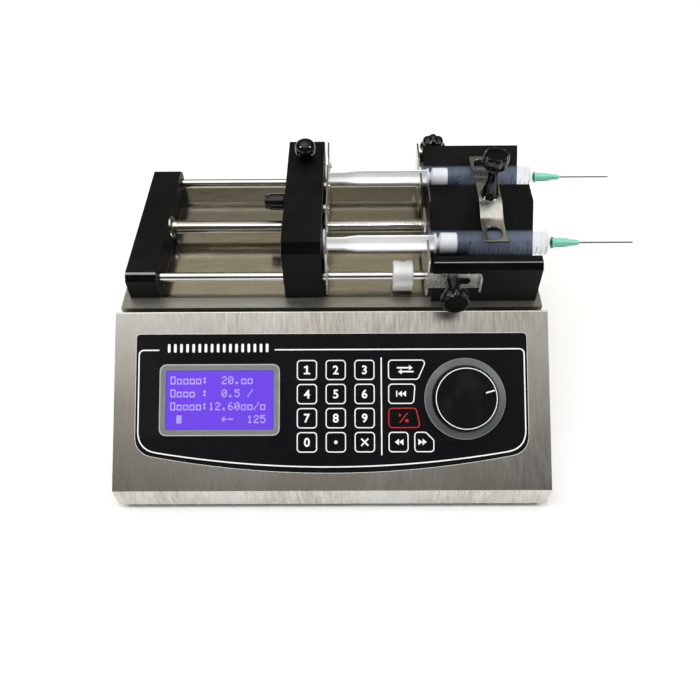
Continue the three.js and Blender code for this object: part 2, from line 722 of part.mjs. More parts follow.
// A brass shoe that sits on the upper half of the screw and lifts clear of it.
function makeHalfNut() {
  const half = 8;
  const { left, right } = NUT_POCKET;
  const [bottom, top] = [SHAFT_HEIGHT + 1, SHAFT_HEIGHT + 11.5];
  const shoe = box(left + 2, right - 2, SCREW_Y - half, SCREW_Y + half, bottom, top);
  return cut(shoe, rodHole(left + 1, right - 1, SCREW_Y, SCREW_RADIUS + 0.4));
}

// Steel plate that keeps the plungers' thumb rests against the pusher.
function makeRetainer() {
  const { left, right } = RETAINER;
  const [halfDepth, top] = [PUSHER.halfDepth - 0.4, PUSHER.height - 0.4];
  const profile = chamferedProfile(SCREW_Y, halfDepth, 2.5, top, PUSHER.chamfer);
  const plate = prism('x', profile, left, right);
  const notches = SYRINGE_YS.flatMap((y) => [
    bar('x', [left - 1, y, SYRINGE_HEIGHT], 4, 8),
    box(left - 1, right + 1, y - 8, y + 8, SYRINGE_HEIGHT, PUSHER.height + 1),
  ]);
  const rods = ROD_YS.map((y) => rodHole(left - 1, right + 1, y, ROD_RADIUS + 0.8));
  const screw = rodHole(left - 1, right + 1, SCREW_Y, SCREW_RADIUS + 1);
  const spacers = [SCREW_Y - 12, SCREW_Y + 12].map((y) => (
    bar('x', [PUSHER.right + GAP, y, PUSHER.height - 8], left - PUSHER.right, 3.5)
  ));
  return join(cut(plate, ...notches, ...rods, screw), ...spacers);
}

function makeCollar() {
  const { left, right, radius } = COLLAR;
  const ring = turned('x', [left, ROD_YS[0], SHAFT_HEIGHT], [
    [0, 0],
    [radius - 0.6, 0],
    [radius, 0.6],
    [radius, right - left - 0.6],
    [radius - 0.6, right - left],
    [0, right - left],
  ]);
  return cut(ring, rodHole(left - 1, right + 1, ROD_YS[0]));
}

part(deck, 'pusher_block', makePusher(), anodised);
part(deck, 'half_nut', makeHalfNut(), brass);
part(deck, 'release_button', makeReleaseButton(), knobBlack);
part(deck, 'pusher_knob', makePusherKnob(), knobBlack);
part(deck, 'plunger_retainer', makeRetainer(), steel);
part(deck, 'stop_collar', makeCollar(), aluminium);

// ---------------------------------------------------------------------------------------------
// Syringe holder, clamp and flange brackets
// ---------------------------------------------------------------------------------------------

// Three-walled block with a 90-degree groove for each barrel and a high ridge between them.
function makeHolder() {
  const { left, right, front, rear, frontTop, rearTop } = HOLDER;
  const [frontY, rearY] = SYRINGE_YS;
  const floor = 1;
  const profile = [
    [front, GAP],
    [rear, GAP],
    [rear, rearTop - 1.5],
    [rear - 1.5, rearTop],
    [rearY + floor + rearTop - GROOVE_BOTTOM, rearTop],
    [rearY + floor, GROOVE_BOTTOM],
    [rearY - floor, GROOVE_BOTTOM],
    [rearY - floor - (RIDGE_TOP - GROOVE_BOTTOM), RIDGE_TOP],
    [frontY + floor + (RIDGE_TOP - GROOVE_BOTTOM), RIDGE_TOP],
    [frontY + floor, GROOVE_BOTTOM],
    [frontY - floor, GROOVE_BOTTOM],
    [frontY - floor - (frontTop - GROOVE_BOTTOM), frontTop],
    [front + 3.45, frontTop],
    [front, frontTop - 3.45],
  ];
  const block = prism('x', profile, left, right);
  const { left: pocketLeft, right: pocketRight, halfDepth, top } = PULLEY_POCKET;
  const pocket = box(pocketLeft, pocketRight, SCREW_Y - halfDepth, SCREW_Y + halfDepth, -1, top);
  const rods = ROD_YS.map((y) => rodHole(left - 1, ROD_RIGHT + 2, y));
  const screw = rodHole(left - 1, SCREW_RIGHT + 2, SCREW_Y, SCREW_RADIUS + 0.8);
  const clampHole = bar('z', [CLAMP_X, CLAMP_SCREW_Y, RIDGE_TOP - 10.5], 12, 3.3);
  const [frontScrew, rearScrew] = THUMBSCREWS;
  const frontHole = bar('y', [frontScrew.x, front - 1, frontScrew.height], 12, 2.6);
  const rearHole = bar('y', [rearScrew.x, rear - 11, rearScrew.height], 12, 2.6);
  return cut(block, pocket, ...rods, screw, clampHole, frontHole, rearHole);
}

// Long round-ended opening over a barrel, that reaches further out than in.
function makeClampWindow(syringeY) {
  const radius = CLAMP_BAR.windowWidth / 2;
  const stretch = CLAMP_BAR.windowLength - CLAMP_BAR.windowWidth;
  const outer = syringeY + Math.sign(syringeY - SCREW_Y) * stretch;
  const [low, high] = [Math.min(syringeY, outer), Math.max(syringeY, outer)];
  const opening = new THREE.Shape();
  opening.absarc(CLAMP_X, high, radius, 0, Math.PI);
  opening.absarc(CLAMP_X, low, radius, Math.PI, 2 * Math.PI);
  return prism('z', opening, 20, 50);
}

// Sprung steel strip: level over the ridge, bowed down onto the two barrels.
function makeClampBar() {
  const { width, length, thickness } = CLAMP_BAR;
  const middle = RIDGE_TOP + 0.35;
  const drop = middle - (SYRINGE_HEIGHT + BARREL_RADIUS + 0.45);
  const underside = (offset) => {
    const share = THREE.MathUtils.smoothstep(Math.abs(offset), 10, 27);
    return middle - drop * share;
  };
  const steps = 24;
  const lower = [];
  for (let i = 0; i <= steps; i += 1) {
    const offset = -length / 2 + (length * i) / steps;
    lower.push([SCREW_Y + offset, underside(offset)]);
  }
  const upper = lower.map(([y, z]) => [y, z + thickness]).reverse();
  const strip = prism('x', [...lower, ...upper], CLAMP_X - width / 2, CLAMP_X + width / 2);
  const windows = SYRINGE_YS.map((y) => makeClampWindow(y));
  const screwHole = bar('z', [CLAMP_X, CLAMP_SCREW_Y, 20], 30, 3.4);
  return cut(strip, ...windows, screwHole);
}

// A long-necked knob with a scalloped head, drawn along its own axis from its base at 0.
function knobHead(radius, from, to) {
  const lobes = 8;
  const steps = 48;
  const points = [];
  for (let i = 0; i < steps; i += 1) {
    const angle = (2 * Math.PI * i) / steps;
    const reach = radius - 0.45 + 0.45 * Math.cos(lobes * angle);
    points.push([reach * Math.cos(angle), reach * Math.sin(angle)]);
  }
  return prism('z', points, from, to);
}

function makeKnob({ base, neck, radius, neckLength, headLength, stud, studLength }) {
  const top = neckLength + headLength;
  const body = turned('z', [0, 0, 0], [
    [0, -studLength],
    [stud, -studLength],
    [stud, 0],
    [base, 0],
    [base, 0.25 * neckLength],
    [neck, 0.55 * neckLength],
    [neck, 0.9 * neckLength],
    [radius - 1.6, neckLength],
    [radius - 1.6, top],
    [radius - 3, top + 1],
    [0, top + 1.4],
  ]);
  return join(body, knobHead(radius, neckLength + 0.4, top));
}

const CLAMP_KNOB = {
  base: 5.3,
  neck: 3.4,
  radius: 8.6,
  neckLength: 21,
  headLength: 10,
  stud: 2.9,
  studLength: 11,
};
const THUMB_KNOB = {
  base: 5,
  neck: 4.1,
  radius: 9.5,
  neckLength: 10,
  headLength: THUMBSCREW_REACH - 13.3,
  stud: 2.2,
  studLength: 9,
};

// Barrel retainer: an end plate across the syringe and a slotted tab along the holder's side.
// It is drawn for the front side; the rear one is its mirror image about the screw.
function makeFlangeBracket(screw, wall, side) {
  const tabOutside = wall - GAP - STRIP;
  const plateRight = BARREL_LEFT - GAP;
  const plateLeft = plateRight - STRIP;
  const low = screw.height - 12.5;
  const high = RIDGE_TOP - 3;
  const reachY = SCREW_Y - 12;
  const tabRight = 95;
  const [tabLow, tabHigh] = [screw.height - 6, screw.height + 6];
  const lipOutside = tabOutside - 4;
  const plate = box(plateLeft, plateRight, tabOutside, reachY, low, high);
  const tab = box(plateLeft, tabRight, tabOutside, tabOutside + STRIP, tabLow, tabHigh);
  const lip = box(tabRight - STRIP, tabRight, lipOutside, tabOutside + STRIP, tabLow, tabHigh);
  const slot = new THREE.Shape();
  const slotHalf = 2.75;
  const slotLeft = screw.x - 1;
  const slotRight = screw.x + 8.5;
  slot.absarc(slotRight, screw.height, slotHalf, -Math.PI / 2, Math.PI / 2);
  slot.absarc(slotLeft, screw.height, slotHalf, Math.PI / 2, 1.5 * Math.PI);
  const syringeY = side === 'rear' ? 2 * SCREW_Y - SYRINGE_YS[1] : SYRINGE_YS[0];
  const notch = 8.4;
  const bracket = cut(
    join(plate, tab, lip),
    prism('y', slot, tabOutside - 1, tabOutside + STRIP + 1),
    bar('x', [plateLeft - 1, syringeY, SYRINGE_HEIGHT], 4, notch),
    box(plateLeft - 1, plateRight + 1, syringeY - notch, syringeY + notch, SYRINGE_HEIGHT, high + 1),
    rodHole(plateLeft - 1, plateRight + 1, ROD_YS[0], ROD_RADIUS + 1),
  );
  if (side === 'rear') {
    bracket.scale(1, -1, 1);
    bracket.translate(0, 2 * SCREW_Y, 0);
  }
  return bracket;
}

part(deck, 'syringe_holder', makeHolder(), anodised);
part(deck, 'clamp_bar', makeClampBar(), steel);
const clampSeat = RIDGE_TOP + 0.35 + CLAMP_BAR.thickness + GAP;
part(deck, 'clamp_knob', makeKnob(CLAMP_KNOB).translate(CLAMP_X, CLAMP_SCREW_Y, clampSeat), knobBlack);

for (const screw of THUMBSCREWS) {
  const rear = screw.side === 'rear';
  // The rear wall is mirrored to the front, so one bracket drawing serves both sides.
  const wall = rear ? 2 * SCREW_Y - HOLDER.rear : HOLDER.front;
  const seat = rear ? HOLDER.rear + STRIP + 2 * GAP : HOLDER.front - STRIP - 2 * GAP;
  const knob = turnAlong(makeKnob(THUMB_KNOB).rotateX(-Math.PI / 2), rear ? 'y' : '-y');
  part(deck, `${screw.side}_flange_bracket`, makeFlangeBracket(screw, wall, screw.side), steel);
  part(deck, `${screw.side}_thumbscrew`, knob.translate(screw.x, seat, screw.height), knobBlack);
}

// ---------------------------------------------------------------------------------------------
// Syringes
// ---------------------------------------------------------------------------------------------

function makeBarrel(y) {
  const nozzle = 2.1;
  const outside = turned('x', [0, y, SYRINGE_HEIGHT], [
    [0, BARREL_LEFT],
    [BARREL_FLANGE_RADIUS, BARREL_LEFT],
    [BARREL_FLANGE_RADIUS, BARREL_LEFT + BARREL_FLANGE],
    [BARREL_RADIUS, BARREL_LEFT + BARREL_FLANGE],
    [BARREL_RADIUS, BARREL_SHOULDER],
    [3.4, BARREL_NOSE],
    [nozzle, BARREL_NOSE],
    [nozzle, NOZZLE_END],
    [0, NOZZLE_END],
  ]);
  const inside = turned('x', [0, y, SYRINGE_HEIGHT], [
    [0, BARREL_LEFT - 1],
    [BORE_RADIUS, BARREL_LEFT - 1],
    [BORE_RADIUS, BARREL_SHOULDER - 0.4],
    [1.1, BARREL_NOSE - 1],
    [1.1, NOZZLE_END + 1],
    [0, NOZZLE_END + 1],
  ]);
  return cut(outside, inside);
}

function makePlunger(y) {
  const restLeft = PUSHER.right + GAP;
  const ribHalf = 6.5;
  const ribThick = 0.75;
  const shaftEnd = PLUNGER_HEAD_LEFT - 2.4;
  const z = SYRINGE_HEIGHT;
  return join(
    turned('x', [restLeft, y, z], [[0, 0], [9.6, 0], [9.6, 1.4], [0, 1.4]]),
    box(restLeft + 1, shaftEnd, y - ribHalf, y + ribHalf, z - ribThick, z + ribThick),
    box(restLeft + 1, shaftEnd, y - ribThick, y + ribThick, z - ribHalf, z + ribHalf),
    turned('x', [0, y, z], [
      [0, shaftEnd - 1],
      [6.6, shaftEnd - 1],
      [6.6, shaftEnd],
      [3.2, shaftEnd + 0.6],
      [3.2, PLUNGER_HEAD_LEFT - 0.4],
      [6.8, PLUNGER_HEAD_LEFT],
      [6.8, PLUNGER_HEAD_RIGHT],
      [0, PLUNGER_HEAD_RIGHT],
    ]),
  );
}

function makePiston(y) {
  const left = PLUNGER_HEAD_RIGHT + GAP;
  const right = PISTON_RIGHT;
  const seal = BORE_RADIUS - 0.1;
  const middle = (left + right) / 2;
  return turned('x', [0, y, SYRINGE_HEIGHT], [
    [0, left],
    [seal - 0.3, left],
    [seal, left + 0.4],
    [seal, left + 1.8],
    [seal - 0.7, left + 2.4],
    [seal - 0.7, middle + 1],
    [seal, middle + 1.6],
    [seal, right - 1],
    [seal - 0.6, right - 0.6],
    [0, right],
  ]);
}

function makeNeedle(y) {
  const hub = turned('x', [0, y, SYRINGE_HEIGHT], [
    [2.5, HUB_LEFT],
    [3.8, HUB_LEFT],
    [3.8, HUB_LEFT + 1.4],
    [3.1, HUB_LEFT + 1.4],
    [2.9, HUB_LEFT + 10],
    [1.7, HUB_LEFT + 13],
    [1.5, HUB_RIGHT],
    [0, HUB_RIGHT],
    [0, HUB_LEFT + 9.4],
    [2.5, HUB_LEFT + 9],
    [2.5, HUB_LEFT],
  ], 20);
  const cannula = bar('x', [HUB_RIGHT - 1, y, SYRINGE_HEIGHT], NEEDLE_TIP - HUB_RIGHT + 1, 0.4, 10);
  return join(hub, cannula);
}

SYRINGE_YS.forEach((y, index) => {
  const side = index === 0 ? 'front' : 'rear';
  part(deck, `${side}_barrel`, makeBarrel(y), clear);
  part(deck, `${side}_plunger`, makePlunger(y), white);
  part(deck, `${side}_piston`, makePiston(y), pistonRubber);
  part(deck, `${side}_needle`, makeNeedle(y), hubGreen);
});

export default group;
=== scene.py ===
"""Looks of a two-channel syringe pump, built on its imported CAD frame.

Everything is in metres in the CAD's frame: +X along the syringes towards the needles, +Y to the rear, +Z up.
Pieces are gathered solid by solid into one mesh per piece, and each piece rides on its CAD body.
"""

import math

import bmesh
import bpy
from mathutils import Matrix, Vector


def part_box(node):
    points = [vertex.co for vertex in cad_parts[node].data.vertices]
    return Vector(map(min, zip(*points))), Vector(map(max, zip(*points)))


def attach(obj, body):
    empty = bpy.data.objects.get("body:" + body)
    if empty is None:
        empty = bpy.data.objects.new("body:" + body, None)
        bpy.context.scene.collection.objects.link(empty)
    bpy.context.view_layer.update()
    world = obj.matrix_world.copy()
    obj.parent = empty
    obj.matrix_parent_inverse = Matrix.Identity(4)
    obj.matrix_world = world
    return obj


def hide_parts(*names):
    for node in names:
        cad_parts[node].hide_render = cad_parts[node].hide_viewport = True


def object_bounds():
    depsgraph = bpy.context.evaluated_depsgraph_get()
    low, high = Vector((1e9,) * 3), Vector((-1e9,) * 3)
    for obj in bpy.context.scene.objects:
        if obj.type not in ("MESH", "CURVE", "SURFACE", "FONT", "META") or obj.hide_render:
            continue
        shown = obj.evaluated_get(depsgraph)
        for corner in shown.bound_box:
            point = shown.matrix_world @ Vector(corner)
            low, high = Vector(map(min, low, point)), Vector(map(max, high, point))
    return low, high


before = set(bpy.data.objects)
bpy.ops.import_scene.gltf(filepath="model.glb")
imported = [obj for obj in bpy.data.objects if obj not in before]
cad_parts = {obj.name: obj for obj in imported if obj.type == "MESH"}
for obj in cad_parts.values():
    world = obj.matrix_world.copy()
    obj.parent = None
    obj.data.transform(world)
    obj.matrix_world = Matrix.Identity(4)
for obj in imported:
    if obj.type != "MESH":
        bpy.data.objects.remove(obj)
CAD_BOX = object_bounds()
MM = 0.001
SMOOTH_UNDER = math.radians(38)  # edges sharper than this stay crisp
ROUND_OVER = math.radians(30)  # edges sharper than this are rounded by a bevel


# ---------------------------------------------------------------------------------------------
# Places taken from the CAD
# ---------------------------------------------------------------------------------------------

def centre(node):
    low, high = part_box(node)
    return (low + high) / 2


def panel_matrix():
    """From panel coordinates (u to the right, v up the slope, w outwards) to the row frame."""
    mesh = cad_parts["front_shell"].data
    sloped = [face for face in mesh.polygons if face.normal.y < -0.3 and face.normal.z > 0.3]
    face = max(sloped, key=lambda found: found.area)
    normal = face.normal.normalized()
    low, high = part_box("front_shell")
    foot_z = (normal.dot(face.center) - normal.y * low.y) / normal.z
    across = Vector((1, 0, 0))
    turn = Matrix((across, normal.cross(across), normal)).transposed()
    return Matrix.Translation(((low.x + high.x) / 2, low.y, foot_z)) @ turn.to_4x4()


PANEL = panel_matrix()
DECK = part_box("deck_shell")[1].z


def panel_box(node):
    """Lowest and highest corners of a CAD node in panel coordinates."""
    inverse = PANEL.inverted()
    points = [inverse @ vertex.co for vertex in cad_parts[node].data.vertices]
    low = Vector([min(point[axis] for point in points) for axis in range(3)])
    high = Vector([max(point[axis] for point in points) for axis in range(3)])
    return low, high


# ---------------------------------------------------------------------------------------------
# Materials
# ---------------------------------------------------------------------------------------------

def add_node(tree, kind, inputs=(), **settings):
    """Adds a node, and links or fills its inputs from (socket, value) pairs."""
    made = tree.nodes.new(kind)
    for key, value in settings.items():
        setattr(made, key, value)
    for index, value in inputs:
        if isinstance(value, bpy.types.NodeSocket):
            tree.links.new(value, made.inputs[index])
        else:
            made.inputs[index].default_value = value
    return made


def map_range(tree, value, start, end, low, high):
    """A value that runs from low to high while the given one runs from start to end."""
    inputs = [(0, value), (1, start), (2, end), (3, low), (4, high)]
    return add_node(tree, "ShaderNodeMapRange", inputs).outputs[0]


def scaled(color, factor):
    return tuple(factor * channel for channel in color)


class Look:
    """A material and short calls that add the nodes which feed its shader."""

    def __init__(self, name, color, **values):
        self.material = bpy.data.materials.new(name)
        self.material.use_nodes = True
        self.tree = self.material.node_tree
        self.shader = self.tree.nodes["Principled BSDF"]
        self.set("Base Color", (*color, 1))
        for key, value in values.items():
            self.set(key.replace("_", " "), value)

    def set(self, socket, value):
        names = {name.lower(): name for name in self.shader.inputs.keys()}
        self.shader.inputs[names[socket.lower()]].default_value = value

    def node(self, kind, inputs=(), **settings):
        return add_node(self.tree, kind, inputs, **settings)

    def place(self, scale):
        """The piece's own coordinates in metres, stretched by a factor along each axis."""
        coordinates = self.node("ShaderNodeTexCoord").outputs["Object"]
        return self.node("ShaderNodeMapping", [("Vector", coordinates), ("Scale", scale)]).outputs[0]

    def noise(self, scale, detail=3.0, roughness=0.55, stretch=(1, 1, 1)):
        inputs = [("Vector", self.place(stretch)), ("Scale", scale)]
        inputs += [("Detail", detail), ("Roughness", roughness)]
        return self.node("ShaderNodeTexNoise", inputs).outputs["Fac"]

    def spread(self, value, low, high, to_low, to_high):
        """Maps a value from one range to another, and clamps it."""
        return map_range(self.tree, value, low, high, to_low, to_high)

    def total(self, first, second):
        return self.node("ShaderNodeMath", [(0, first), (1, second)], operation="ADD").outputs[0]

    def blend(self, share, first, second):
        inputs = [(0, share), (6, (*first, 1) if isinstance(first, tuple) else first)]
        inputs.append((7, (*second, 1) if isinstance(second, tuple) else second))
        return self.node("ShaderNodeMix", inputs, data_type="RGBA").outputs[2]

    def color(self, socket):
        self.tree.links.new(socket, self.shader.inputs["Base Color"])

    def rough(self, socket):
        self.tree.links.new(socket, self.shader.inputs["Roughness"])

    def bump(self, height, distance, strength):
        inputs = [("Height", height), ("Distance", distance), ("Strength", strength)]
        made = self.node("ShaderNodeBump", inputs)
        self.tree.links.new(made.outputs[0], self.shader.inputs["Normal"])


def brushed_steel(name, grain, color, shade, roughness, contrast=1.0):
    """Brushed sheet: fine and coarse streaks along the grain, with slow warm and cool drifts."""
    look = Look(name, color, metallic=1.0)
    fine = [1.0 if axis == grain else 26.0 for axis in "xyz"]
    if grain == "slope":
        fine = [26.0, 1.0, 1.0]
    coarse = [axis if axis == 1.0 else 7.0 for axis in fine]
    streaks = look.total(look.noise(75, 4, 0.7, fine), look.noise(60, 3, 0.65, coarse))
    drift = look.noise(14, 2, 0.5)
    cloud = look.noise(38, 3, 0.6, (1.0, 0.6, 0.6))
    tone = look.spread(streaks, 0.75, 1.25, 0.5 - 0.5 * contrast, 0.5 + 0.5 * contrast)
    brushed = look.blend(tone, shade, color)
    cool = tuple(channel * factor for channel, factor in zip(color, (0.93, 0.97, 1.02)))
    drifted = look.blend(look.spread(drift, 0.4, 0.64, 0, 0.75), brushed, cool)
    look.color(look.blend(look.spread(cloud, 0.5, 0.75, 0, 0.3), drifted, shade))
    look.rough(look.spread(streaks, 0.75, 1.25, roughness + 0.08, roughness - 0.05))
    look.bump(streaks, 0.00003, 0.35)
    return look.material


def polished(name, color, roughness):
    """Ground bar: faint lines drawn along X in a bright finish."""
    look = Look(name, color, metallic=1.0)
    lines = look.noise(60, 3, 0.6, (0.15, 6.0, 6.0))
    smudges = look.noise(55, 2, 0.5)
    darker = scaled(color, 0.82)
    look.color(look.blend(look.spread(smudges, 0.35, 0.7, 0, 0.5), color, darker))
    look.rough(look.spread(lines, 0.3, 0.7, roughness, roughness + 0.07))
    return look.material


def satin_metal(name, color, metallic, roughness):
    """Bead-blasted or painted metal with a soft sheen."""
    look = Look(name, color, metallic=metallic)
    grain = look.noise(1900, 2, 0.6)
    cloud = look.noise(60, 3, 0.5)
    darker = scaled(color, 0.85)
    look.color(look.blend(look.spread(cloud, 0.35, 0.7, 0, 1), color, darker))
    look.rough(look.spread(grain, 0.3, 0.7, roughness - 0.06, roughness + 0.08))
    look.bump(grain, 0.00003, 0.25)
    return look.material


def anodised(name, paleness):
    """Satin black anodised blocks: bead-blasted grain and dusty patches."""
    look = Look(name, (0.004, 0.0045, 0.0045), specular_ior_level=0.12 * paleness)
    grain = look.noise(2600, 2, 0.6)
    dust = look.noise(45, 4, 0.6)
    patch = look.spread(dust, 0.42, 0.72, 0, 1)
    clean = scaled((0.0032, 0.0036, 0.0036), paleness)
    dusty = scaled((0.0065, 0.007, 0.0065), paleness)
    look.color(look.blend(patch, clean, dusty))
    look.rough(look.spread(look.total(grain, dust), 0.7, 1.3, 0.34, 0.5))
    look.bump(grain, 0.00004, 0.3)
    return look.material


def moulded(name, color, roughness, gloss=0.5):
    """Moulded plastic: low flow marks in the gloss and a slight unevenness in the surface."""
    look = Look(name, color, specular_ior_level=gloss)
    flow = look.noise(120, 3, 0.5)
    grain = look.noise(1500, 2, 0.5)
    paler = tuple(min(1.0, 1.25 * channel + 0.001) for channel in color)
    look.color(look.blend(look.spread(flow, 0.4, 0.75, 0, 0.6), color, paler))
    look.rough(look.spread(flow, 0.3, 0.7, roughness - 0.03, roughness + 0.07))
    look.bump(grain, 0.00002, 0.25)
    return look.material


def rubber(name, color):
    look = Look(name, color, specular_ior_level=0.3)
    grain = look.noise(900, 3, 0.65)
    bloom = look.noise(90, 3, 0.5)
    paler = tuple(1.7 * channel + 0.004 for channel in color)
    look.color(look.blend(look.spread(bloom, 0.4, 0.7, 0, 0.8), color, paler))
    look.rough(look.spread(grain, 0.3, 0.7, 0.62, 0.85))
    look.bump(grain, 0.00005, 0.4)
    return look.material


def spun_face(name):
    """Black disc with a faint brown bloom and a soft gloss."""
    look = Look(name, (0.006, 0.0058, 0.0055), specular_ior_level=0.1)
    grain = look.noise(900, 2, 0.6)
    cloud = look.noise(55, 3, 0.55, (1.0, 0.35, 1.0))
    bloom = look.spread(cloud, 0.5, 0.75, 0, 1)
    look.color(look.blend(bloom, (0.0035, 0.0033, 0.0032), (0.011, 0.0105, 0.0095)))
    look.rough(look.spread(grain, 0.3, 0.7, 0.3, 0.4))
    return look.material


def overlay_film(name, color, sheen_color):
    """Printed polyester film with a fine velvet texture and small dust specks."""
    look = Look(name, color, specular_ior_level=0.06)
    velvet = look.noise(2200, 2, 0.6)
    speck = look.noise(420, 5, 0.75)
    cloud = look.noise(30, 3, 0.5)
    base = look.blend(look.spread(cloud, 0.35, 0.7, 0, 1), color, sheen_color)
    paler = scaled(sheen_color, 3.2)
    look.color(look.blend(look.spread(speck, 0.68, 0.76, 0, 0.5), base, paler))
    look.rough(look.spread(velvet, 0.3, 0.7, 0.42, 0.6))
    look.bump(velvet, 0.00004, 0.3)
    return look.material


def printed(name, color):
    """Screen-printed ink with a little unevenness."""
    look = Look(name, color, specular_ior_level=0.3)
    weave = look.noise(1800, 2, 0.5)
    duller = scaled(color, 0.86)
    look.color(look.blend(look.spread(weave, 0.35, 0.7, 0, 0.7), color, duller))
    look.rough(look.spread(weave, 0.3, 0.7, 0.45, 0.6))
    return look.material


def clear_plastic(name, color, alpha):
    """Slightly milky clear polypropylene: thin, glossy, and bluish over something dark."""
    look = Look(name, color, alpha=alpha, roughness=0.12, specular_ior_level=0.5)
    haze = look.noise(70, 3, 0.5, (0.4, 1, 1))
    paler = tuple(min(1.0, 1.5 * channel) for channel in color)
    look.color(look.blend(look.spread(haze, 0.42, 0.62, 0, 1), color, paler))
    look.rough(look.spread(haze, 0.3, 0.7, 0.08, 0.2))
    return look.material


def backlit(name, color, deeper):
    """Display glass: an even glow with a fine grain."""
    look = Look(name, (0.012, 0.006, 0.05), roughness=0.3, specular_ior_level=0.1, emission_strength=0.95)
    glow = look.noise(25, 2, 0.5)
    grain = look.noise(1700, 1, 0.5)
    soft, fine = look.spread(glow, 0.35, 0.7, 0, 0.45), look.spread(grain, 0.35, 0.65, 0, 0.35)
    share = look.total(soft, fine)
    look.tree.links.new(look.blend(share, color, deeper), look.shader.inputs["Emission Color"])
    look.rough(look.spread(grain, 0.3, 0.7, 0.14, 0.24))
    return look.material


def circuit_board(name):
    look = Look(name, (0.02, 0.13, 0.05), roughness=0.45)
    traces = look.node("ShaderNodeTexBrick", [("Vector", look.place((260, 260, 260)))])
    for index, color in ((1, (0.02, 0.13, 0.05)), (2, (0.03, 0.19, 0.07)), (3, (0.10, 0.30, 0.12))):
        traces.inputs[index].default_value = (*color, 1)
    look.color(traces.outputs["Color"])
    look.rough(look.spread(look.noise(300), 0.3, 0.7, 0.35, 0.6))
    return look.material


STEEL_PANEL = brushed_steel("steel_panel", "slope", (0.64, 0.62, 0.57), (0.38, 0.355, 0.31), 0.26)
STEEL_DECK = brushed_steel("steel_deck", "x", (0.47, 0.435, 0.36), (0.36, 0.325, 0.255), 0.16, 0.7)
# Near-white copy of the panel steel for the fold's upper faces: a painted highlight
STEEL_FOLD_HIGHLIGHT = brushed_steel("steel_fold", "z", (0.95, 0.94, 0.88), (0.66, 0.65, 0.6), 0.5)
STEEL_APRON = brushed_steel("steel_apron", "x", (0.50, 0.49, 0.43), (0.34, 0.325, 0.27), 0.4)
STEEL_SIDE = brushed_steel("steel_side", "y", (0.60, 0.585, 0.54), (0.45, 0.43, 0.38), 0.34)
STEEL_STRIP = brushed_steel("steel_strip", "y", (0.66, 0.65, 0.60), (0.50, 0.48, 0.42), 0.22, 0.8)
CHROME = polished("chrome", (0.80, 0.80, 0.79), 0.03)
SCREW_STEEL = polished("screw_steel", (0.70, 0.68, 0.61), 0.1)
FASTENER = polished("fastener_steel", (0.60, 0.59, 0.56), 0.18)
CANNULA = satin_metal("cannula_steel", (0.085, 0.085, 0.09), 0.3, 0.5)
COLLAR_ALUMINIUM = satin_metal("collar_aluminium", (0.72, 0.72, 0.72), 0.4, 0.4)
RING_GREY = satin_metal("ring_grey", (0.115, 0.125, 0.13), 0.3, 0.5)
RING_LIGHT = satin_metal("ring_light", (0.30, 0.32, 0.32), 0.3, 0.4)
# Lighter satin metal for the rounded edges that face up towards the light: a painted highlight
EDGE_HIGHLIGHT = satin_metal("worn_edge", (0.26, 0.265, 0.275), 0.4, 0.4)
BRASS = polished("brass", (0.60, 0.42, 0.15), 0.3)
MOTOR_STEEL = polished("motor_steel", (0.12, 0.12, 0.125), 0.4)
ANODISED = anodised("anodised_black", 1.0)
# Darker copy of the anodised black for the front chamfers: painted shade
ANODISED_SHADED = anodised("anodised_black_deep", 0.4)
KNOB = moulded("knob_black", (0.0025, 0.0025, 0.003), 0.08)
KNOB_CAP = moulded("knob_cap_black", (0.003, 0.003, 0.003), 0.5, gloss=0.08)
BLACK_PLASTIC = moulded("inlet_black", (0.010, 0.010, 0.011), 0.42, gloss=0.3)
DIAL_FACE = spun_face("dial_face")
FILM = overlay_film("overlay_film", (0.0032, 0.0036, 0.0044), (0.0052, 0.0056, 0.0064))
KEY_FILM = overlay_film("key_film", (0.0028, 0.0031, 0.0036), (0.0045, 0.0048, 0.0053))
FILM_EDGE = printed("film_edge", (0.70, 0.70, 0.67))
INK_WHITE = printed("ink_white", (0.92, 0.93, 0.93))
INK_RED = printed("ink_red", (0.50, 0.022, 0.028))
INK_BLACK = printed("ink_black", (0.02, 0.022, 0.03))
FRAME_GREY = moulded("display_frame_grey", (0.16, 0.175, 0.165), 0.45)
FRAME_RIM = moulded("display_frame_rim", (0.42, 0.44, 0.42), 0.4)
SCREEN = backlit("display_glass", (0.19, 0.075, 0.86), (0.14, 0.055, 0.78))
SCREEN_EDGE = backlit("display_glass_edge", (0.10, 0.07, 0.70), (0.12, 0.06, 0.74))
SCREEN_TEXT = backlit("display_segments", (0.60, 0.53, 0.95), (0.50, 0.42, 0.92))
WHITE_PLASTIC = moulded("plunger_white", (0.84, 0.85, 0.86), 0.35)
BARREL = clear_plastic("barrel_clear", (0.27, 0.335, 0.46), 0.105)
PISTON = moulded("piston_rubber", (0.003, 0.006, 0.016), 0.3, gloss=0.6)
HUB = moulded("hub_green", (0.20, 0.60, 0.44), 0.3)
FOOT_RUBBER = rubber("foot_rubber", (0.012, 0.012, 0.013))
BELT_RUBBER = rubber("belt_rubber", (0.015, 0.015, 0.016))
BOARD = circuit_board("circuit_board")


# ---------------------------------------------------------------------------------------------
# Solids
# ---------------------------------------------------------------------------------------------

def bevel(bm, width, segments=2):
    """Rounds every edge that turns by more than ROUND_OVER."""
    folds = [edge for edge in bm.edges if len(edge.link_faces) == 2]
    sharp = [edge for edge in folds if edge.calc_face_angle() > ROUND_OVER]
    if sharp and width:
        bmesh.ops.bevel(
            bm, geom=sharp, offset=width, segments=segments, profile=0.5, affect="EDGES", clamp_overlap=True
        )
    return bm


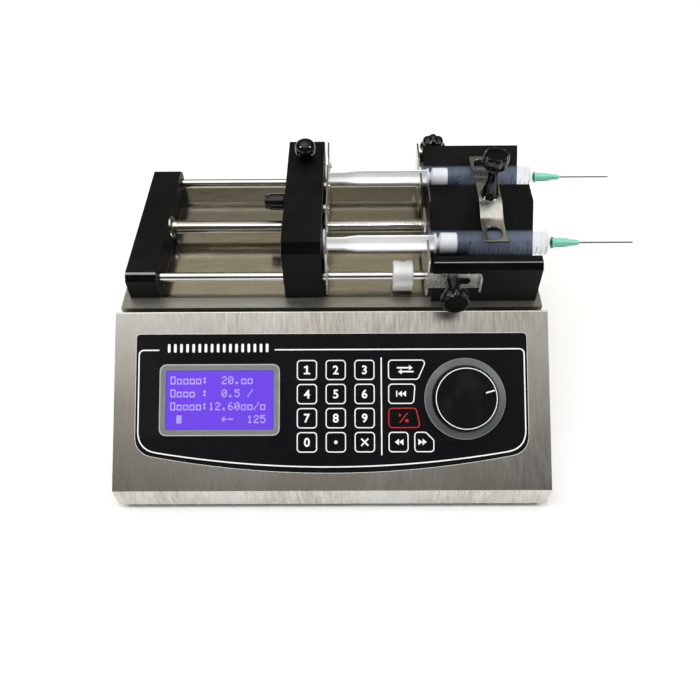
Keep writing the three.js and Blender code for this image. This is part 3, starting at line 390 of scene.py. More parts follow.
def from_node(node, width, segments=2, soft=None, soft_width=0.0):
    """A CAD node's shape with welded points, merged flat faces and rounded edges.

    Edges whose middle passes the test `soft` are rounded first and more widely.
    """
    bm = bmesh.new()
    bm.from_mesh(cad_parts[node].data)
    bmesh.ops.remove_doubles(bm, verts=bm.verts, dist=2e-6)
    bmesh.ops.dissolve_limit(bm, angle_limit=math.radians(0.6), verts=bm.verts, edges=bm.edges)
    if soft:
        wide = [edge for edge in bm.edges if soft((edge.verts[0].co + edge.verts[1].co) / 2)]
        bmesh.ops.bevel(bm, geom=wide, offset=soft_width, segments=5, profile=0.5, affect="EDGES")
    return bevel(bm, width, segments)


def lathe(profile, segments, lobes=0, depth=0.0):
    """Turned about Z from (radius, height, share) points; share says how far the lobes cut in there."""
    bm = bmesh.new()
    rings = []
    for point in profile:
        radius, height = point[0], point[1]
        share = point[2] if len(point) > 2 else 0.0
        if radius == 0:
            rings.append([bm.verts.new((0, 0, height))])
            continue
        ring = []
        for step in range(segments):
            angle = 2 * math.pi * step / segments
            notch = (0.5 - 0.5 * math.cos(lobes * angle)) ** 1.5
            reach = radius - share * depth * notch
            ring.append(bm.verts.new((reach * math.cos(angle), reach * math.sin(angle), height)))
        rings.append(ring)
    for lower, upper in zip(rings, rings[1:]):
        for step in range(segments):
            after = (step + 1) % segments
            if len(lower) == 1:
                bm.faces.new((lower[0], upper[after], upper[step]))
            elif len(upper) == 1:
                bm.faces.new((lower[step], lower[after], upper[0]))
            else:
                bm.faces.new((lower[step], lower[after], upper[after], upper[step]))
    for ring, flip in ((rings[0], True), (rings[-1], False)):
        if len(ring) > 1 and profile[0] != profile[-1]:
            bm.faces.new(list(reversed(ring)) if flip else ring)
    if profile[0] == profile[-1]:
        bmesh.ops.remove_doubles(bm, verts=bm.verts, dist=1e-8)
    bmesh.ops.recalc_face_normals(bm, faces=bm.faces)
    return bm


def turned(profile, segments=64, lobes=0, depth=0.0):
    """A lathe solid whose profile is in millimetres."""
    return lathe([(point[0] * MM, point[1] * MM, *point[2:]) for point in profile], segments, lobes, depth)


def filled(curve):
    """The mesh of a filled curve or text, which is removed afterwards."""
    holder = bpy.data.objects.new("outline", curve)
    mesh = bpy.data.meshes.new_from_object(holder)
    bm = bmesh.new()
    bm.from_mesh(mesh)
    bpy.data.objects.remove(holder)
    bpy.data.curves.remove(curve)
    bpy.data.meshes.remove(mesh)
    return bm


def slab(loops, low, high, edge=0.0):
    """A flat plate across Z; the first loop is its outline and the others are holes."""
    curve = bpy.data.curves.new("slab", "CURVE")
    curve.dimensions = "2D"
    curve.fill_mode = "BOTH"
    curve.extrude = (high - low) / 2
    for loop in loops:
        spline = curve.splines.new("POLY")
        spline.points.add(len(loop) - 1)
        for point, (x, y) in zip(spline.points, loop):
            point.co = (x, y, 0, 1)
        spline.use_cyclic_u = True
    bm = filled(curve)
    bmesh.ops.remove_doubles(bm, verts=bm.verts, dist=1e-7)
    bmesh.ops.dissolve_limit(bm, angle_limit=math.radians(0.2), verts=bm.verts, edges=bm.edges)
    bmesh.ops.recalc_face_normals(bm, faces=bm.faces)
    bmesh.ops.translate(bm, verts=bm.verts, vec=(0, 0, (low + high) / 2))
    return bevel(bm, edge)


def ribbon(points, width, low, high, closed=False):
    """A flat line of even width that follows points in the XY plane."""
    count = len(points)
    sides = []
    for index, (x, y) in enumerate(points):
        before = points[index - 1] if closed or index else None
        after = points[(index + 1) % count] if closed or index + 1 < count else None
        into = Vector((x - before[0], y - before[1])).normalized() if before else None
        out = Vector((after[0] - x, after[1] - y)).normalized() if after else into
        into = into or out
        along = (into + out).normalized()
        reach = width / 2 / max(0.4, along.dot(into))
        side = Vector((-along.y, along.x)) * reach
        sides.append(((x + side.x, y + side.y), (x - side.x, y - side.y)))
    bm = bmesh.new()
    rings = []
    for left, right in sides:
        corners = ((left, low), (right, low), (right, high), (left, high))
        rings.append([bm.verts.new((*corner, height)) for corner, height in corners])
    pairs = list(zip(rings, rings[1:]))
    if closed:
        pairs.append((rings[-1], rings[0]))
    for start, end in pairs:
        for side in range(4):
            after = (side + 1) % 4
            bm.faces.new((start[side], end[side], end[after], start[after]))
    if not closed:
        bm.faces.new(rings[0])
        bm.faces.new(list(reversed(rings[-1])))
    bmesh.ops.recalc_face_normals(bm, faces=bm.faces)
    return bm


def lettering(text, height, low, high, weight):
    """Digits as thin raised print, centred on the origin."""
    curve = bpy.data.curves.new("digits", "FONT")
    curve.body = text
    curve.align_x = "CENTER"
    curve.align_y = "CENTER"
    curve.size = 1.0
    curve.offset = weight
    bm = filled(curve)
    xs = [vertex.co.x for vertex in bm.verts]
    ys = [vertex.co.y for vertex in bm.verts]
    middle = Vector(((min(xs) + max(xs)) / 2, (min(ys) + max(ys)) / 2, 0))
    scale = height / (max(ys) - min(ys))
    for vertex in bm.verts:
        vertex.co = (vertex.co - middle) * scale
        vertex.co.z = low
    bmesh.ops.remove_doubles(bm, verts=bm.verts, dist=1e-7)
    raised = bmesh.ops.extrude_face_region(bm, geom=list(bm.faces))
    lifted = [item for item in raised["geom"] if isinstance(item, bmesh.types.BMVert)]
    bmesh.ops.translate(bm, verts=lifted, vec=(0, 0, high - low))
    bmesh.ops.recalc_face_normals(bm, faces=bm.faces)
    return bm


def thread(radius, root, start, end, pitch, starts):
    """A helical thread about Z between two heights, left open where the plain shanks cover its ends."""
    columns = 20
    lead = pitch * starts
    rows = int((end - start) / pitch) * 4
    bm = bmesh.new()
    rings = []
    for row in range(rows + 1):
        ring = []
        for column in range(columns):
            angle = 2 * math.pi * column / columns
            height = start + row * pitch / 4 + lead * column / columns
            reach = radius if row % 4 else root
            height = min(height, end)
            ring.append(bm.verts.new((reach * math.cos(angle), reach * math.sin(angle), height)))
        rings.append(ring)
    shift = 4 * starts
    for row in range(rows):
        for column in range(columns):
            after = (column + 1) % columns
            step = 0 if after else shift
            if row + 1 + step > rows:
                continue
            quad = (rings[row][column], rings[row + step][after])
            bm.faces.new((*quad, rings[row + 1 + step][after], rings[row + 1][column]))
    bmesh.ops.recalc_face_normals(bm, faces=bm.faces)
    return bm


def rounded(points, radius, steps=5):
    """A closed outline with its corners replaced by arcs."""
    result = []
    count = len(points)
    for index in range(count):
        corner = Vector(points[index])
        to_before = (Vector(points[index - 1]) - corner).normalized()
        to_after = (Vector(points[(index + 1) % count]) - corner).normalized()
        half = to_before.angle(to_after) / 2
        run = radius / math.tan(half)
        middle = corner + (to_before + to_after).normalized() * radius / math.sin(half)
        start = corner + to_before * run - middle
        turn = start.angle_signed(corner + to_after * run - middle)
        for step in range(steps + 1):
            offset = start.copy()
            offset.rotate(Matrix.Rotation(-turn * step / steps, 2))
            result.append(tuple(middle + offset))
    return result


def inset(points, distance):
    """A convex counter-clockwise outline with every side moved inwards."""
    result = []
    count = len(points)
    for index in range(count):
        corner = Vector(points[index])
        into = (corner - Vector(points[index - 1])).normalized()
        out = (Vector(points[(index + 1) % count]) - corner).normalized()
        first = Vector((-into.y, into.x))
        second = Vector((-out.y, out.x))
        result.append(tuple(corner + (first + second) * distance / (1 + first.dot(second))))
    return result


def rectangle(left, right, bottom, top):
    return [(left, bottom), (right, bottom), (right, top), (left, top)]


def circle(x, y, radius, steps=48):
    angles = [2 * math.pi * step / steps for step in range(steps)]
    return [(x + radius * math.cos(angle), y + radius * math.sin(angle)) for angle in angles]


def along(axis, origin):
    """Places a solid drawn about Z so that it points along an axis from an origin."""
    turn = Vector((0, 0, 1)).rotation_difference(Vector(axis)).to_matrix().to_4x4()
    return Matrix.Translation(origin) @ turn


def lying(node):
    """Placement of a node that lies along X, with its length and radius in millimetres."""
    low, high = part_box(node)
    middle = centre(node)
    place = along((1, 0, 0), (low.x, middle.y, middle.z))
    return place, (high.x - low.x) / MM, (high.z - low.z) / 2 / MM


# ---------------------------------------------------------------------------------------------
# Pieces
# ---------------------------------------------------------------------------------------------

class Piece:
    """One visible piece: solids gathered into one mesh, each in its own material."""

    def __init__(self, name):
        self.name = name
        self.bm = bmesh.new()
        self.materials = []

    def add(self, bm, material, matrix=None):
        if material not in self.materials:
            self.materials.append(material)
        index = self.materials.index(material)
        for face in bm.faces:
            face.material_index = index
            face.smooth = True
        if matrix is not None:
            bm.transform(matrix)
            if matrix.determinant() < 0:
                bmesh.ops.reverse_faces(bm, faces=bm.faces)
        scratch = bpy.data.meshes.new("scratch")
        bm.to_mesh(scratch)
        bm.free()
        self.bm.from_mesh(scratch)
        bpy.data.meshes.remove(scratch)
        return self

    def paint(self, material, test):
        """Gives a material to the faces that pass a test on (centre, normal)."""
        if material not in self.materials:
            self.materials.append(material)
        index = self.materials.index(material)
        for face in self.bm.faces:
            if test(face.calc_center_median(), face.normal):
                face.material_index = index
        return self

    def ride(self, body, slot, *nodes):
        mesh = bpy.data.meshes.new(self.name)
        self.bm.to_mesh(mesh)
        self.bm.free()
        for material in self.materials:
            mesh.materials.append(material)
        mesh.set_sharp_from_angle(angle=SMOOTH_UNDER)
        obj = bpy.data.objects.new(self.name, mesh)
        bpy.context.scene.collection.objects.link(obj)
        weighted = obj.modifiers.new("even shading", "WEIGHTED_NORMAL")
        weighted.keep_sharp = True
        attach(obj, body)
        if nodes:
            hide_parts(*nodes)
        return obj


def socket_screw(piece, origin, axis, radius, height, material=FASTENER):
    """A button head with a hexagon socket, seated at an origin."""
    place = along(axis, origin)
    across = 0.5 * radius
    crown = [(radius, 0), (radius, 0.25 * height)]
    crown += [(0.93 * radius, 0.6 * height), (0.7 * radius, 0.9 * height)]
    recess = [(across * 1.16, height), (across * 1.16, 0.35 * height), (0, 0.35 * height)]
    piece.add(lathe(crown + recess, 36), material, place)
    hexagon = circle(0, 0, across * 1.12, 6)
    ring = slab([circle(0, 0, across * 1.2, 36), hexagon[::-1]], 0.3 * height, height * 0.985)
    piece.add(ring, material, place)


def washer(piece, origin, axis, outer, inner, height, material=FASTENER):
    profile = [(inner, 0), (outer, 0), (outer, height), (inner, height), (inner, 0)]
    piece.add(bevel(lathe(profile, 40), 0.2 * height), material, along(axis, origin))


def make_housing():
    fold_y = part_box("front_shell")[1].y

    def top_fold(at):
        return at.z > DECK - 0.1 * MM and abs(at.y - fold_y) < 0.1 * MM

    shell = from_node("front_shell", 0.6 * MM, 3, top_fold, 2.6 * MM)
    front = Piece("front_housing").add(shell, STEEL_PANEL)
    front.paint(STEEL_SIDE, lambda at, normal: abs(normal.x) > 0.8)
    # Painted highlight: the upward faces of the top fold get the near-white steel
    front.paint(STEEL_FOLD_HIGHLIGHT, lambda at, normal: at.y > fold_y - 2.5 * MM and normal.z > 0.4)
    front.ride("root", "steel_sheet", "front_shell")
    rear = Piece("rear_housing").add(from_node("deck_shell", 0.7 * MM, 3), STEEL_APRON)
    rear.paint(STEEL_SIDE, lambda at, normal: abs(normal.x) > 0.8)
    rear.ride("root", "steel_sheet", "deck_shell")
    base = Piece("base_plate").add(from_node("base_tray", 0.4 * MM), STEEL_SIDE)
    base.ride("root", "steel_sheet", "base_tray")

    feet = Piece("feet")
    nodes = [f"foot_{end}_{side}" for end in ("front", "rear") for side in ("left", "right")]
    for node in nodes:
        low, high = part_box(node)
        radius, height = (high.x - low.x) / 2, high.z - low.z
        profile = [(0, 0), (0.8 * radius, 0), (0.9 * radius, 0.1 * height), (radius, 0.9 * height)]
        profile += [(0.97 * radius, height), (0, height)]
        place = Matrix.Translation((centre(node).x, centre(node).y, low.z))
        feet.add(lathe(profile, 48), FOOT_RUBBER, place)
        for turn in (1, 2, 3):
            groove = 0.2 * radius * turn
            ring = [(groove, 0.1 * MM), (groove + 0.5 * MM, 0), (groove - 0.5 * MM, 0), (groove, 0.1 * MM)]
            feet.add(lathe(ring, 40), FOOT_RUBBER, place)
    feet.ride("root", "rubber_black", *nodes)


def make_deck_plate():
    """The bright plate between the blocks, with a thin black strip along its front edge as a painted shadow
    line.
    """
    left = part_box("left_end_block")[1].x + 0.4 * MM
    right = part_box("syringe_holder")[0].x - 0.4 * MM
    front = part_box("left_end_block")[0].y + 0.4 * MM
    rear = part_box("deck_shell")[1].y - 1.2 * MM
    plate = Piece("deck_plate")
    sheet = rectangle(left, right, front, rear)
    plate.add(slab([sheet], DECK + 0.02 * MM, DECK + 0.3 * MM, 0.08 * MM), STEEL_DECK)
    # Painted shadow: a thin black strip on the deck just in front of the plate's edge
    edge = rectangle(left, right, front - 0.45 * MM, front)
    plate.add(slab([edge], DECK + 0.01 * MM, DECK + 0.06 * MM), INK_BLACK)
    plate.ride("root", "steel_sheet")


def make_housing_screws():
    screws = Piece("housing_screws")
    front_places = ((12, 15), (80, 15), (80, 70))
    deck_places = ((20, 15), (110, 15), (110, 74))
    for node, places in (("front_shell", front_places), ("deck_shell", deck_places)):
        low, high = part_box(node)
        for x, outward in ((low.x, -1), (high.x, 1)):
            for y, z in places:
                socket_screw(screws, (x, low.y + y * MM, z * MM), (outward, 0, 0), 2.8 * MM, 1.4 * MM)
    middle, rear = centre("deck_shell").x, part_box("deck_shell")[1].y
    for x in (-126, -20, 126):
        for z in (14, 78):
            socket_screw(screws, (middle + x * MM, rear, z * MM), (0, 1, 0), 2.8 * MM, 1.4 * MM)
    screws.ride("root", "steel_sheet")


def make_rear_panel():
    inlet = Piece("mains_inlet").add(from_node("power_inlet", 0.3 * MM), BLACK_PLASTIC)
    low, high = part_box("power_inlet")
    middle = (low + high) / 2
    pins = ((-7, -1.5), (7, -1.5), (0, 2.5))
    for x, z in pins:
        at = Vector((middle.x + x * MM, high.y - 12.3 * MM, middle.z + z * MM))
        shape = rounded(rectangle(-1.12 * MM, 1.12 * MM, -2.12 * MM, 2.12 * MM), 0.3 * MM, 3)
        inlet.add(slab([shape], 0, 6 * MM, 0.2 * MM), FASTENER, along((0, 1, 0), at))
    for x in (-20, 20):
        place = (middle.x + x * MM, high.y, middle.z)
        socket_screw(inlet, place, (0, 1, 0), 2.6 * MM, 1.3 * MM)
    inlet.ride("root", "knob_black", "power_inlet")

    rocker = Piece("power_rocker").add(from_node("power_switch", 0.4 * MM), BLACK_PLASTIC)
    low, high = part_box("power_switch")
    middle = (low + high) / 2
    tilt = Matrix.Rotation(math.radians(6), 4, "X")
    face = Matrix.Translation((middle.x, middle.y, middle.z)) @ tilt
    for z, slope, shape in ((5.2, 17, "bar"), (-5.2, -17, "ring")):
        lean = Matrix.Rotation(math.radians(slope - 90), 4, "X")
        place = face @ Matrix.Translation((0, 5.0 * MM, z * MM)) @ lean
        if shape == "bar":
            mark = ribbon([(0, -1.8 * MM), (0, 1.8 * MM)], 0.7 * MM, 0, 0.8 * MM)
        else:
            mark = ribbon(circle(0, 0, 1.6 * MM, 28), 0.6 * MM, 0, 0.8 * MM, True)
        rocker.add(mark, INK_WHITE, place)
    rocker.ride("power_switch", "knob_black", "power_switch")

    # Frame around the rocker, and a nine-pin data socket beside it
    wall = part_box("deck_shell")[1].y
    back = Piece("rear_fittings")
    opening = rectangle(low.x - 0.7 * MM, high.x + 0.7 * MM, low.z - 1.7 * MM, high.z + 1.7 * MM)
    outside = rectangle(low.x - 3 * MM, high.x + 3 * MM, low.z - 3.9 * MM, high.z + 3.9 * MM)
    swap = Matrix(((1, 0, 0, 0), (0, 0, 1, 0), (0, 1, 0, 0), (0, 0, 0, 1)))
    loops = [rounded(outside, 1.5 * MM), rounded(opening, 0.8 * MM)[::-1]]
    back.add(slab(loops, wall + 0.05 * MM, wall + 1.6 * MM, 0.3 * MM), BLACK_PLASTIC, swap)
    port = Vector((centre("deck_shell").x + 12 * MM, wall, centre("power_switch").z))
    shape = [(-8.6, -4), (8.6, -4), (9.6, 4), (-9.6, 4)]
    shell = rounded([(x * MM, z * MM) for x, z in shape], 2 * MM)
    outer = rounded(rectangle(-15.4 * MM, 15.4 * MM, -6.2 * MM, 6.2 * MM), 1 * MM)
    seat = Matrix.Translation(port) @ swap
    back.add(slab([outer], 0.05 * MM, 1 * MM, 0.2 * MM), FASTENER, seat)
    back.add(slab([shell], 1 * MM, 4.4 * MM, 0.3 * MM), FASTENER, seat)
    core = rounded([(0.88 * x * MM, 0.8 * z * MM) for x, z in shape], 1.5 * MM)
    back.add(slab([core], 4.4 * MM, 4.6 * MM), BLACK_PLASTIC, seat)
    for row, count in ((1.35, 5), (-1.35, 4)):
        for index in range(count):
            x = (index - (count - 1) / 2) * 2.76
            place = seat @ Matrix.Translation((x * MM, row * MM, 4.5 * MM))
            hole = [(0.35 * MM, 0.25 * MM), (0.7 * MM, 0.25 * MM), (0.7 * MM, 0), (0.35 * MM, 0)]
            back.add(lathe(hole + hole[:1], 16), BRASS, place)
    for x in (-12.5, 12.5):
        nut = circle(x * MM, 0, 2.6 * MM, 6)
        bore = circle(x * MM, 0, 1.4 * MM, 20)[::-1]
        back.add(slab([nut, bore], 1 * MM, 4.5 * MM, 0.2 * MM), FASTENER, seat)
    back.ride("root", "knob_black")


# ---------------------------------------------------------------------------------------------
# Sloped panel
# ---------------------------------------------------------------------------------------------

def panel_outline(half_width, top, side_foot, lowest, corner, top_corner):
    """The overlay's outline: square at the top, and one long sag between two round lower corners."""
    steps = 12
    shoulder = half_width - corner
    foot = side_foot - 2 * MM
    sag = 2 * lowest - foot
    curves = [
        ((-half_width, side_foot + corner), (-half_width, side_foot), (-shoulder, foot)),
        ((-shoulder, foot), (0, sag), (shoulder, foot)),
        ((shoulder, foot), (half_width, side_foot), (half_width, side_foot + corner)),
        ((half_width, top - top_corner), (half_width, top), (half_width - top_corner, top)),
        ((-half_width + top_corner, top), (-half_width, top), (-half_width, top - top_corner)),
    ]
    points = []
    for start, control, end in curves:
        count = 3 * steps if control[0] == 0 else steps
        for step in range(count + 1):
            share = step / count
            weights = ((1 - share) ** 2, 2 * share * (1 - share), share ** 2)
            point = [sum(w * p[axis] for w, p in zip(weights, (start, control, end))) for axis in (0, 1)]
            if not points or (Vector(points[-1]) - Vector(point)).length > 0.05 * MM:
                points.append(tuple(point))
    return points


def key_shape(node):
    """The four corners of a key's pad, counter-clockwise, in panel coordinates."""
    inverse = PANEL.inverted()
    face = [inverse @ vertex.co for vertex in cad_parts[node].data.vertices]
    top = max(point.z for point in face)
    face = [point for point in face if point.z > top - 0.1 * MM]
    low_v, high_v = min(point.y for point in face), max(point.y for point in face)
    middle = (low_v + high_v) / 2
    lower = [point.x for point in face if point.y < middle]
    upper = [point.x for point in face if point.y > middle]
    return [(min(lower), low_v), (max(lower), low_v), (max(upper), high_v), (min(upper), high_v)]


KEY_NODES = [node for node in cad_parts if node.startswith("key_")]
KEY_RADIUS = 2.7 * MM


def trimmed(node, shape):
    """The forward key's upper right corner is cut off, where the dial's ring comes close."""
    if node != "key_forward":
        return shape
    left_foot, right_foot, left_top = shape[0], shape[1], shape[3]
    right = right_foot[0]
    return [left_foot, right_foot, (right, right_foot[1] + 8 * MM), (right - 5.4 * MM, left_top[1]), left_top]


def make_overlay():
    low, high = panel_box("front_overlay")
    middle = (low.x + high.x) / 2
    half = (high.x - low.x) / 2
    outline = panel_outline(half, high.y, low.y + 12.5 * MM, low.y, 12 * MM, 3 * MM)
    screen_low, screen_high = panel_box("lcd_module")
    window = rectangle(screen_low.x, screen_high.x, screen_low.y, screen_high.y)
    holes = [rounded(window, 4.5 * MM)[::-1]]
    for node in KEY_NODES:
        holes.append(rounded(inset(trimmed(node, key_shape(node)), -0.22 * MM), KEY_RADIUS)[::-1])
    dial = panel_box("dial_knob")
    centre_u, centre_v = (dial[0].x + dial[1].x) / 2, (dial[0].y + dial[1].y) / 2
    holes.append(circle(centre_u, centre_v, 4 * MM)[::-1])
    overlay = Piece("front_overlay_film")
    shifted = [(x + middle, y) for x, y in outline]
    overlay.add(slab([shifted, *holes], low.z - 0.2 * MM, high.z, 0.12 * MM), FILM, PANEL)

    # Pale cut edge of the film
    face = high.z
    rim = [shifted, inset(shifted, 0.32 * MM)[::-1]]
    overlay.add(slab(rim, low.z - 0.1 * MM, face + 0.03 * MM), FILM_EDGE, PANEL)

    # Printed border, with a gap at the upper left for a plain row of bars in place of a title
    top = high.y - 10.6 * MM
    line = panel_outline(half - 2.1 * MM, top, low.y + 15.3 * MM, low.y + 4.1 * MM, 12 * MM, 3.5 * MM)
    gap_left, gap_right = -111 * MM, -36.5 * MM
    start = max(range(len(line)), key=lambda index: (line[index][1] > top - 1e-6, -line[index][0]))
    turned = [line[(start + step) % len(line)] for step in range(len(line))]
    path = [(gap_left, top), *turned, (gap_right, top)]
    path = [(x + middle, y) for x, y in path]
    printed_top = face + 0.06 * MM
    overlay.add(ribbon(path, 0.8 * MM, face, printed_top), INK_WHITE, PANEL)
    bars = 17
    for index in range(bars):
        u = -104.6 + (104.6 - 41.4) * index / (bars - 1)
        bar = rounded(rectangle(-0.85 * MM, 0.85 * MM, -2.8 * MM, 2.8 * MM), 0.8 * MM, 3)
        place = PANEL @ Matrix.Translation((middle + u * MM, top + 1.2 * MM, 0))
        overlay.add(slab([bar], face, printed_top), INK_WHITE, place)

    # Divider between the number keys and the function keys
    right = max(point[0] for point in key_shape("key_3"))
    left = min(point[0] for point in key_shape("key_change"))
    divider = (right + left) / 2
    divider_low = key_shape("key_0")[0][1] - 1.6 * MM
    divider_high = key_shape("key_1")[2][1] + 1.2 * MM
    divider_line = [(divider, divider_low), (divider, divider_high)]
    overlay.add(ribbon(divider_line, 0.8 * MM, face, printed_top), INK_WHITE, PANEL)
    overlay.ride("root", "overlay_black", "front_overlay")


GLYPHS = {
    "0": ("01110", "10001", "10011", "10101", "11001", "10001", "01110"),
    "1": ("00100", "01100", "00100", "00100", "00100", "00100", "01110"),
    "2": ("01110", "10001", "00001", "00110", "01000", "10000", "11111"),
    "5": ("11111", "10000", "11110", "00001", "00001", "10001", "01110"),
    "6": ("00110", "01000", "10000", "11110", "10001", "10001", "01110"),
    ".": ("00000", "00000", "00000", "00000", "00000", "01100", "01100"),
    ":": ("00000", "01100", "01100", "00000", "01100", "01100", "00000"),
    "-": ("00000", "00000", "00000", "11111", "00000", "00000", "00000"),
    "<": ("00000", "00100", "01000", "11111", "01000", "00100", "00000"),
    "/": ("00001", "00001", "00010", "00100", "01000", "10000", "10000"),
    "H": ("11111", "10001", "10001", "10001", "10001", "10001", "11111"),
    "o": ("00000", "00000", "11111", "10001", "10001", "10001", "11111"),
    "#": ("11111", "10101", "11111", "10101", "11111", "10101", "11111"),
    " ": ("00000",) * 7,
}
# Figures, with plain boxes where a real screen has words and units
SCREEN_ROWS = ("Hoooo:  20.oo", "Hooo :  0.5 /", "Hoooo:12.60oo/o", " #      <-  125")


def make_display():
    low, high = panel_box("lcd_module")
    display = Piece("display")
    border = 4.1 * MM
    face = high.z
    outside = rectangle(low.x + 0.15 * MM, high.x - 0.15 * MM, low.y + 0.15 * MM, high.y - 0.15 * MM)
    lit = rectangle(low.x + border, high.x - border, low.y + border, high.y - border)
    rounded_outside = rounded(outside, 4.4 * MM)
    rounded_rim = rounded(inset(outside, 0.75 * MM), 3.65 * MM)
    bezel = [rounded_rim, rounded(lit, 0.6 * MM)[::-1]]
    rim = [rounded_outside, rounded_rim[::-1]]
    display.add(slab(rim, face - 2 * MM, face + 0.5 * MM, 0.2 * MM), FRAME_RIM, PANEL)
    display.add(slab(bezel, face - 2 * MM, face + 0.35 * MM, 0.2 * MM), FRAME_GREY, PANEL)
    display.add(slab([inset(lit, -0.4 * MM)], face - 1.2 * MM, face - 0.25 * MM), SCREEN_EDGE, PANEL)
    display.add(slab([inset(lit, 0.75 * MM)], face - 1.1 * MM, face - 0.23 * MM), SCREEN, PANEL)
    back = rectangle(low.x + 1 * MM, high.x - 1 * MM, low.y + 1 * MM, high.y - 1 * MM)
    display.add(slab([back], low.z, face - 2 * MM), BLACK_PLASTIC, PANEL)

    dot_width, dot_height = 0.64 * MM, 0.72 * MM
    left = lit[0][0] + 3.0 * MM
    for row, text in enumerate(SCREEN_ROWS):
        top = lit[2][1] - (6.4 + 8.3 * row) * MM + 3.5 * dot_height
        for column, sign in enumerate(text):
            start = left + column * 4.13 * MM
            for line, bits in enumerate(GLYPHS[sign]):
                upper = top - line * dot_height
                for first, last in bits_to_runs(bits):
                    begin, end = start + first * dot_width, start + last * dot_width
                    dots = flat(rectangle(begin, end, upper - dot_height, upper), face - 0.2 * MM)
                    display.add(dots, SCREEN_TEXT, PANEL)
    display.ride("root", "display", "lcd_module")


def bits_to_runs(bits):
    """Start and end of each run of ones."""
    runs = []
    for index, bit in enumerate(bits):
        if bit == "1" and (index == 0 or bits[index - 1] == "0"):
            runs.append([index, index + 1])
        elif bit == "1":
            runs[-1][1] = index + 1
    return runs


def flat(points, height):
    bm = bmesh.new()
    bm.faces.new([bm.verts.new((x, y, height)) for x, y in points])
    return bm


def triangle(x, y, size, left):
    """The outline of an arrowhead that points left or right."""
    reach = -size if left else size
    points = [(x, y - size), (x, y + size), (x + 1.35 * reach, y)]
    return points[::-1] if left else points


SLASH = [(-2.9, -3.1), (-2.1, -3.1), (2.9, 3.1), (2.1, 3.1)]
CROSS_BAR = [(-2.6, -1.9), (-1.9, -2.6), (2.6, 1.9), (1.9, 2.6)]
ONE_FLAG = [(-1.9, 1.1), (-0.5, 1.8), (-0.5, 2.8), (-1.9, 2.1)]
# Flat outlines, in millimetres from the pad's middle, that make up the keys' signs
KEY_MARKS = {
    "key_1": [rectangle(-0.6, 0.6, -2.75, 2.8), rectangle(-2.0, 2.0, -2.75, -1.8), ONE_FLAG],
    "key_rewind": [
        triangle(2.9, 0, 1.9, True), triangle(0.3, 0, 1.9, True), rectangle(-3.4, -2.7, -1.9, 1.9),
    ],
    "key_reverse": [triangle(3.1, 0, 2.0, True), triangle(0.3, 0, 2.0, True)],
    "key_forward": [triangle(-2.9, 0, 2.0, False), triangle(-0.2, 0, 2.0, False)],
    "key_run_stop": [SLASH, triangle(-2.9, 1.8, 1.15, False), rectangle(1.2, 3.1, -2.8, -0.9)],
    "key_point": [circle(0, 0, 1.15, 20)],
    "key_clear": [CROSS_BAR, [(-x, y) for x, y in CROSS_BAR][::-1]],
    "key_change": [
        rectangle(-5.4, 2.6, 0.75, 1.75), triangle(2.4, 1.25, 1.7, False),
        rectangle(-2.6, 5.4, -1.75, -0.75), triangle(-2.4, -1.25, 1.7, True),
    ],
}


def make_keys():
    for node in KEY_NODES:
        shape = trimmed(node, key_shape(node))
        low, high = panel_box(node)
        ink = INK_RED if node == "key_run_stop" else INK_WHITE
        key = Piece(node.replace("key_", "button_"))
        pad = rounded(shape, KEY_RADIUS, 6)
        key.add(slab([pad], low.z, high.z, 0.25 * MM), KEY_FILM, PANEL)
        outline = rounded(inset(shape, 0.55 * MM), KEY_RADIUS - 0.55 * MM, 6)
        face = high.z - 0.01 * MM
        printed_top = face + 0.07 * MM
        key.add(ribbon(outline, 0.68 * MM, face, printed_top, True), ink, PANEL)
        square = key_shape(node)
        middle_u = (square[0][0] + (square[1][0] + square[2][0]) / 2) / 2
        middle_v = (square[0][1] + square[2][1]) / 2
        place = PANEL @ Matrix.Translation((middle_u, middle_v, 0))
        name = node.replace("key_", "")
        if name.isdigit() and name != "1":
            key.add(lettering(name, 5.7 * MM, face, printed_top, 0.022), ink, place)
        for mark in KEY_MARKS.get(node, ()):
            points = [(x * MM, y * MM) for x, y in mark]
            key.add(slab([points], face, printed_top), ink, place)
        key.ride(node, "key_red" if node == "key_run_stop" else "key_black", node)


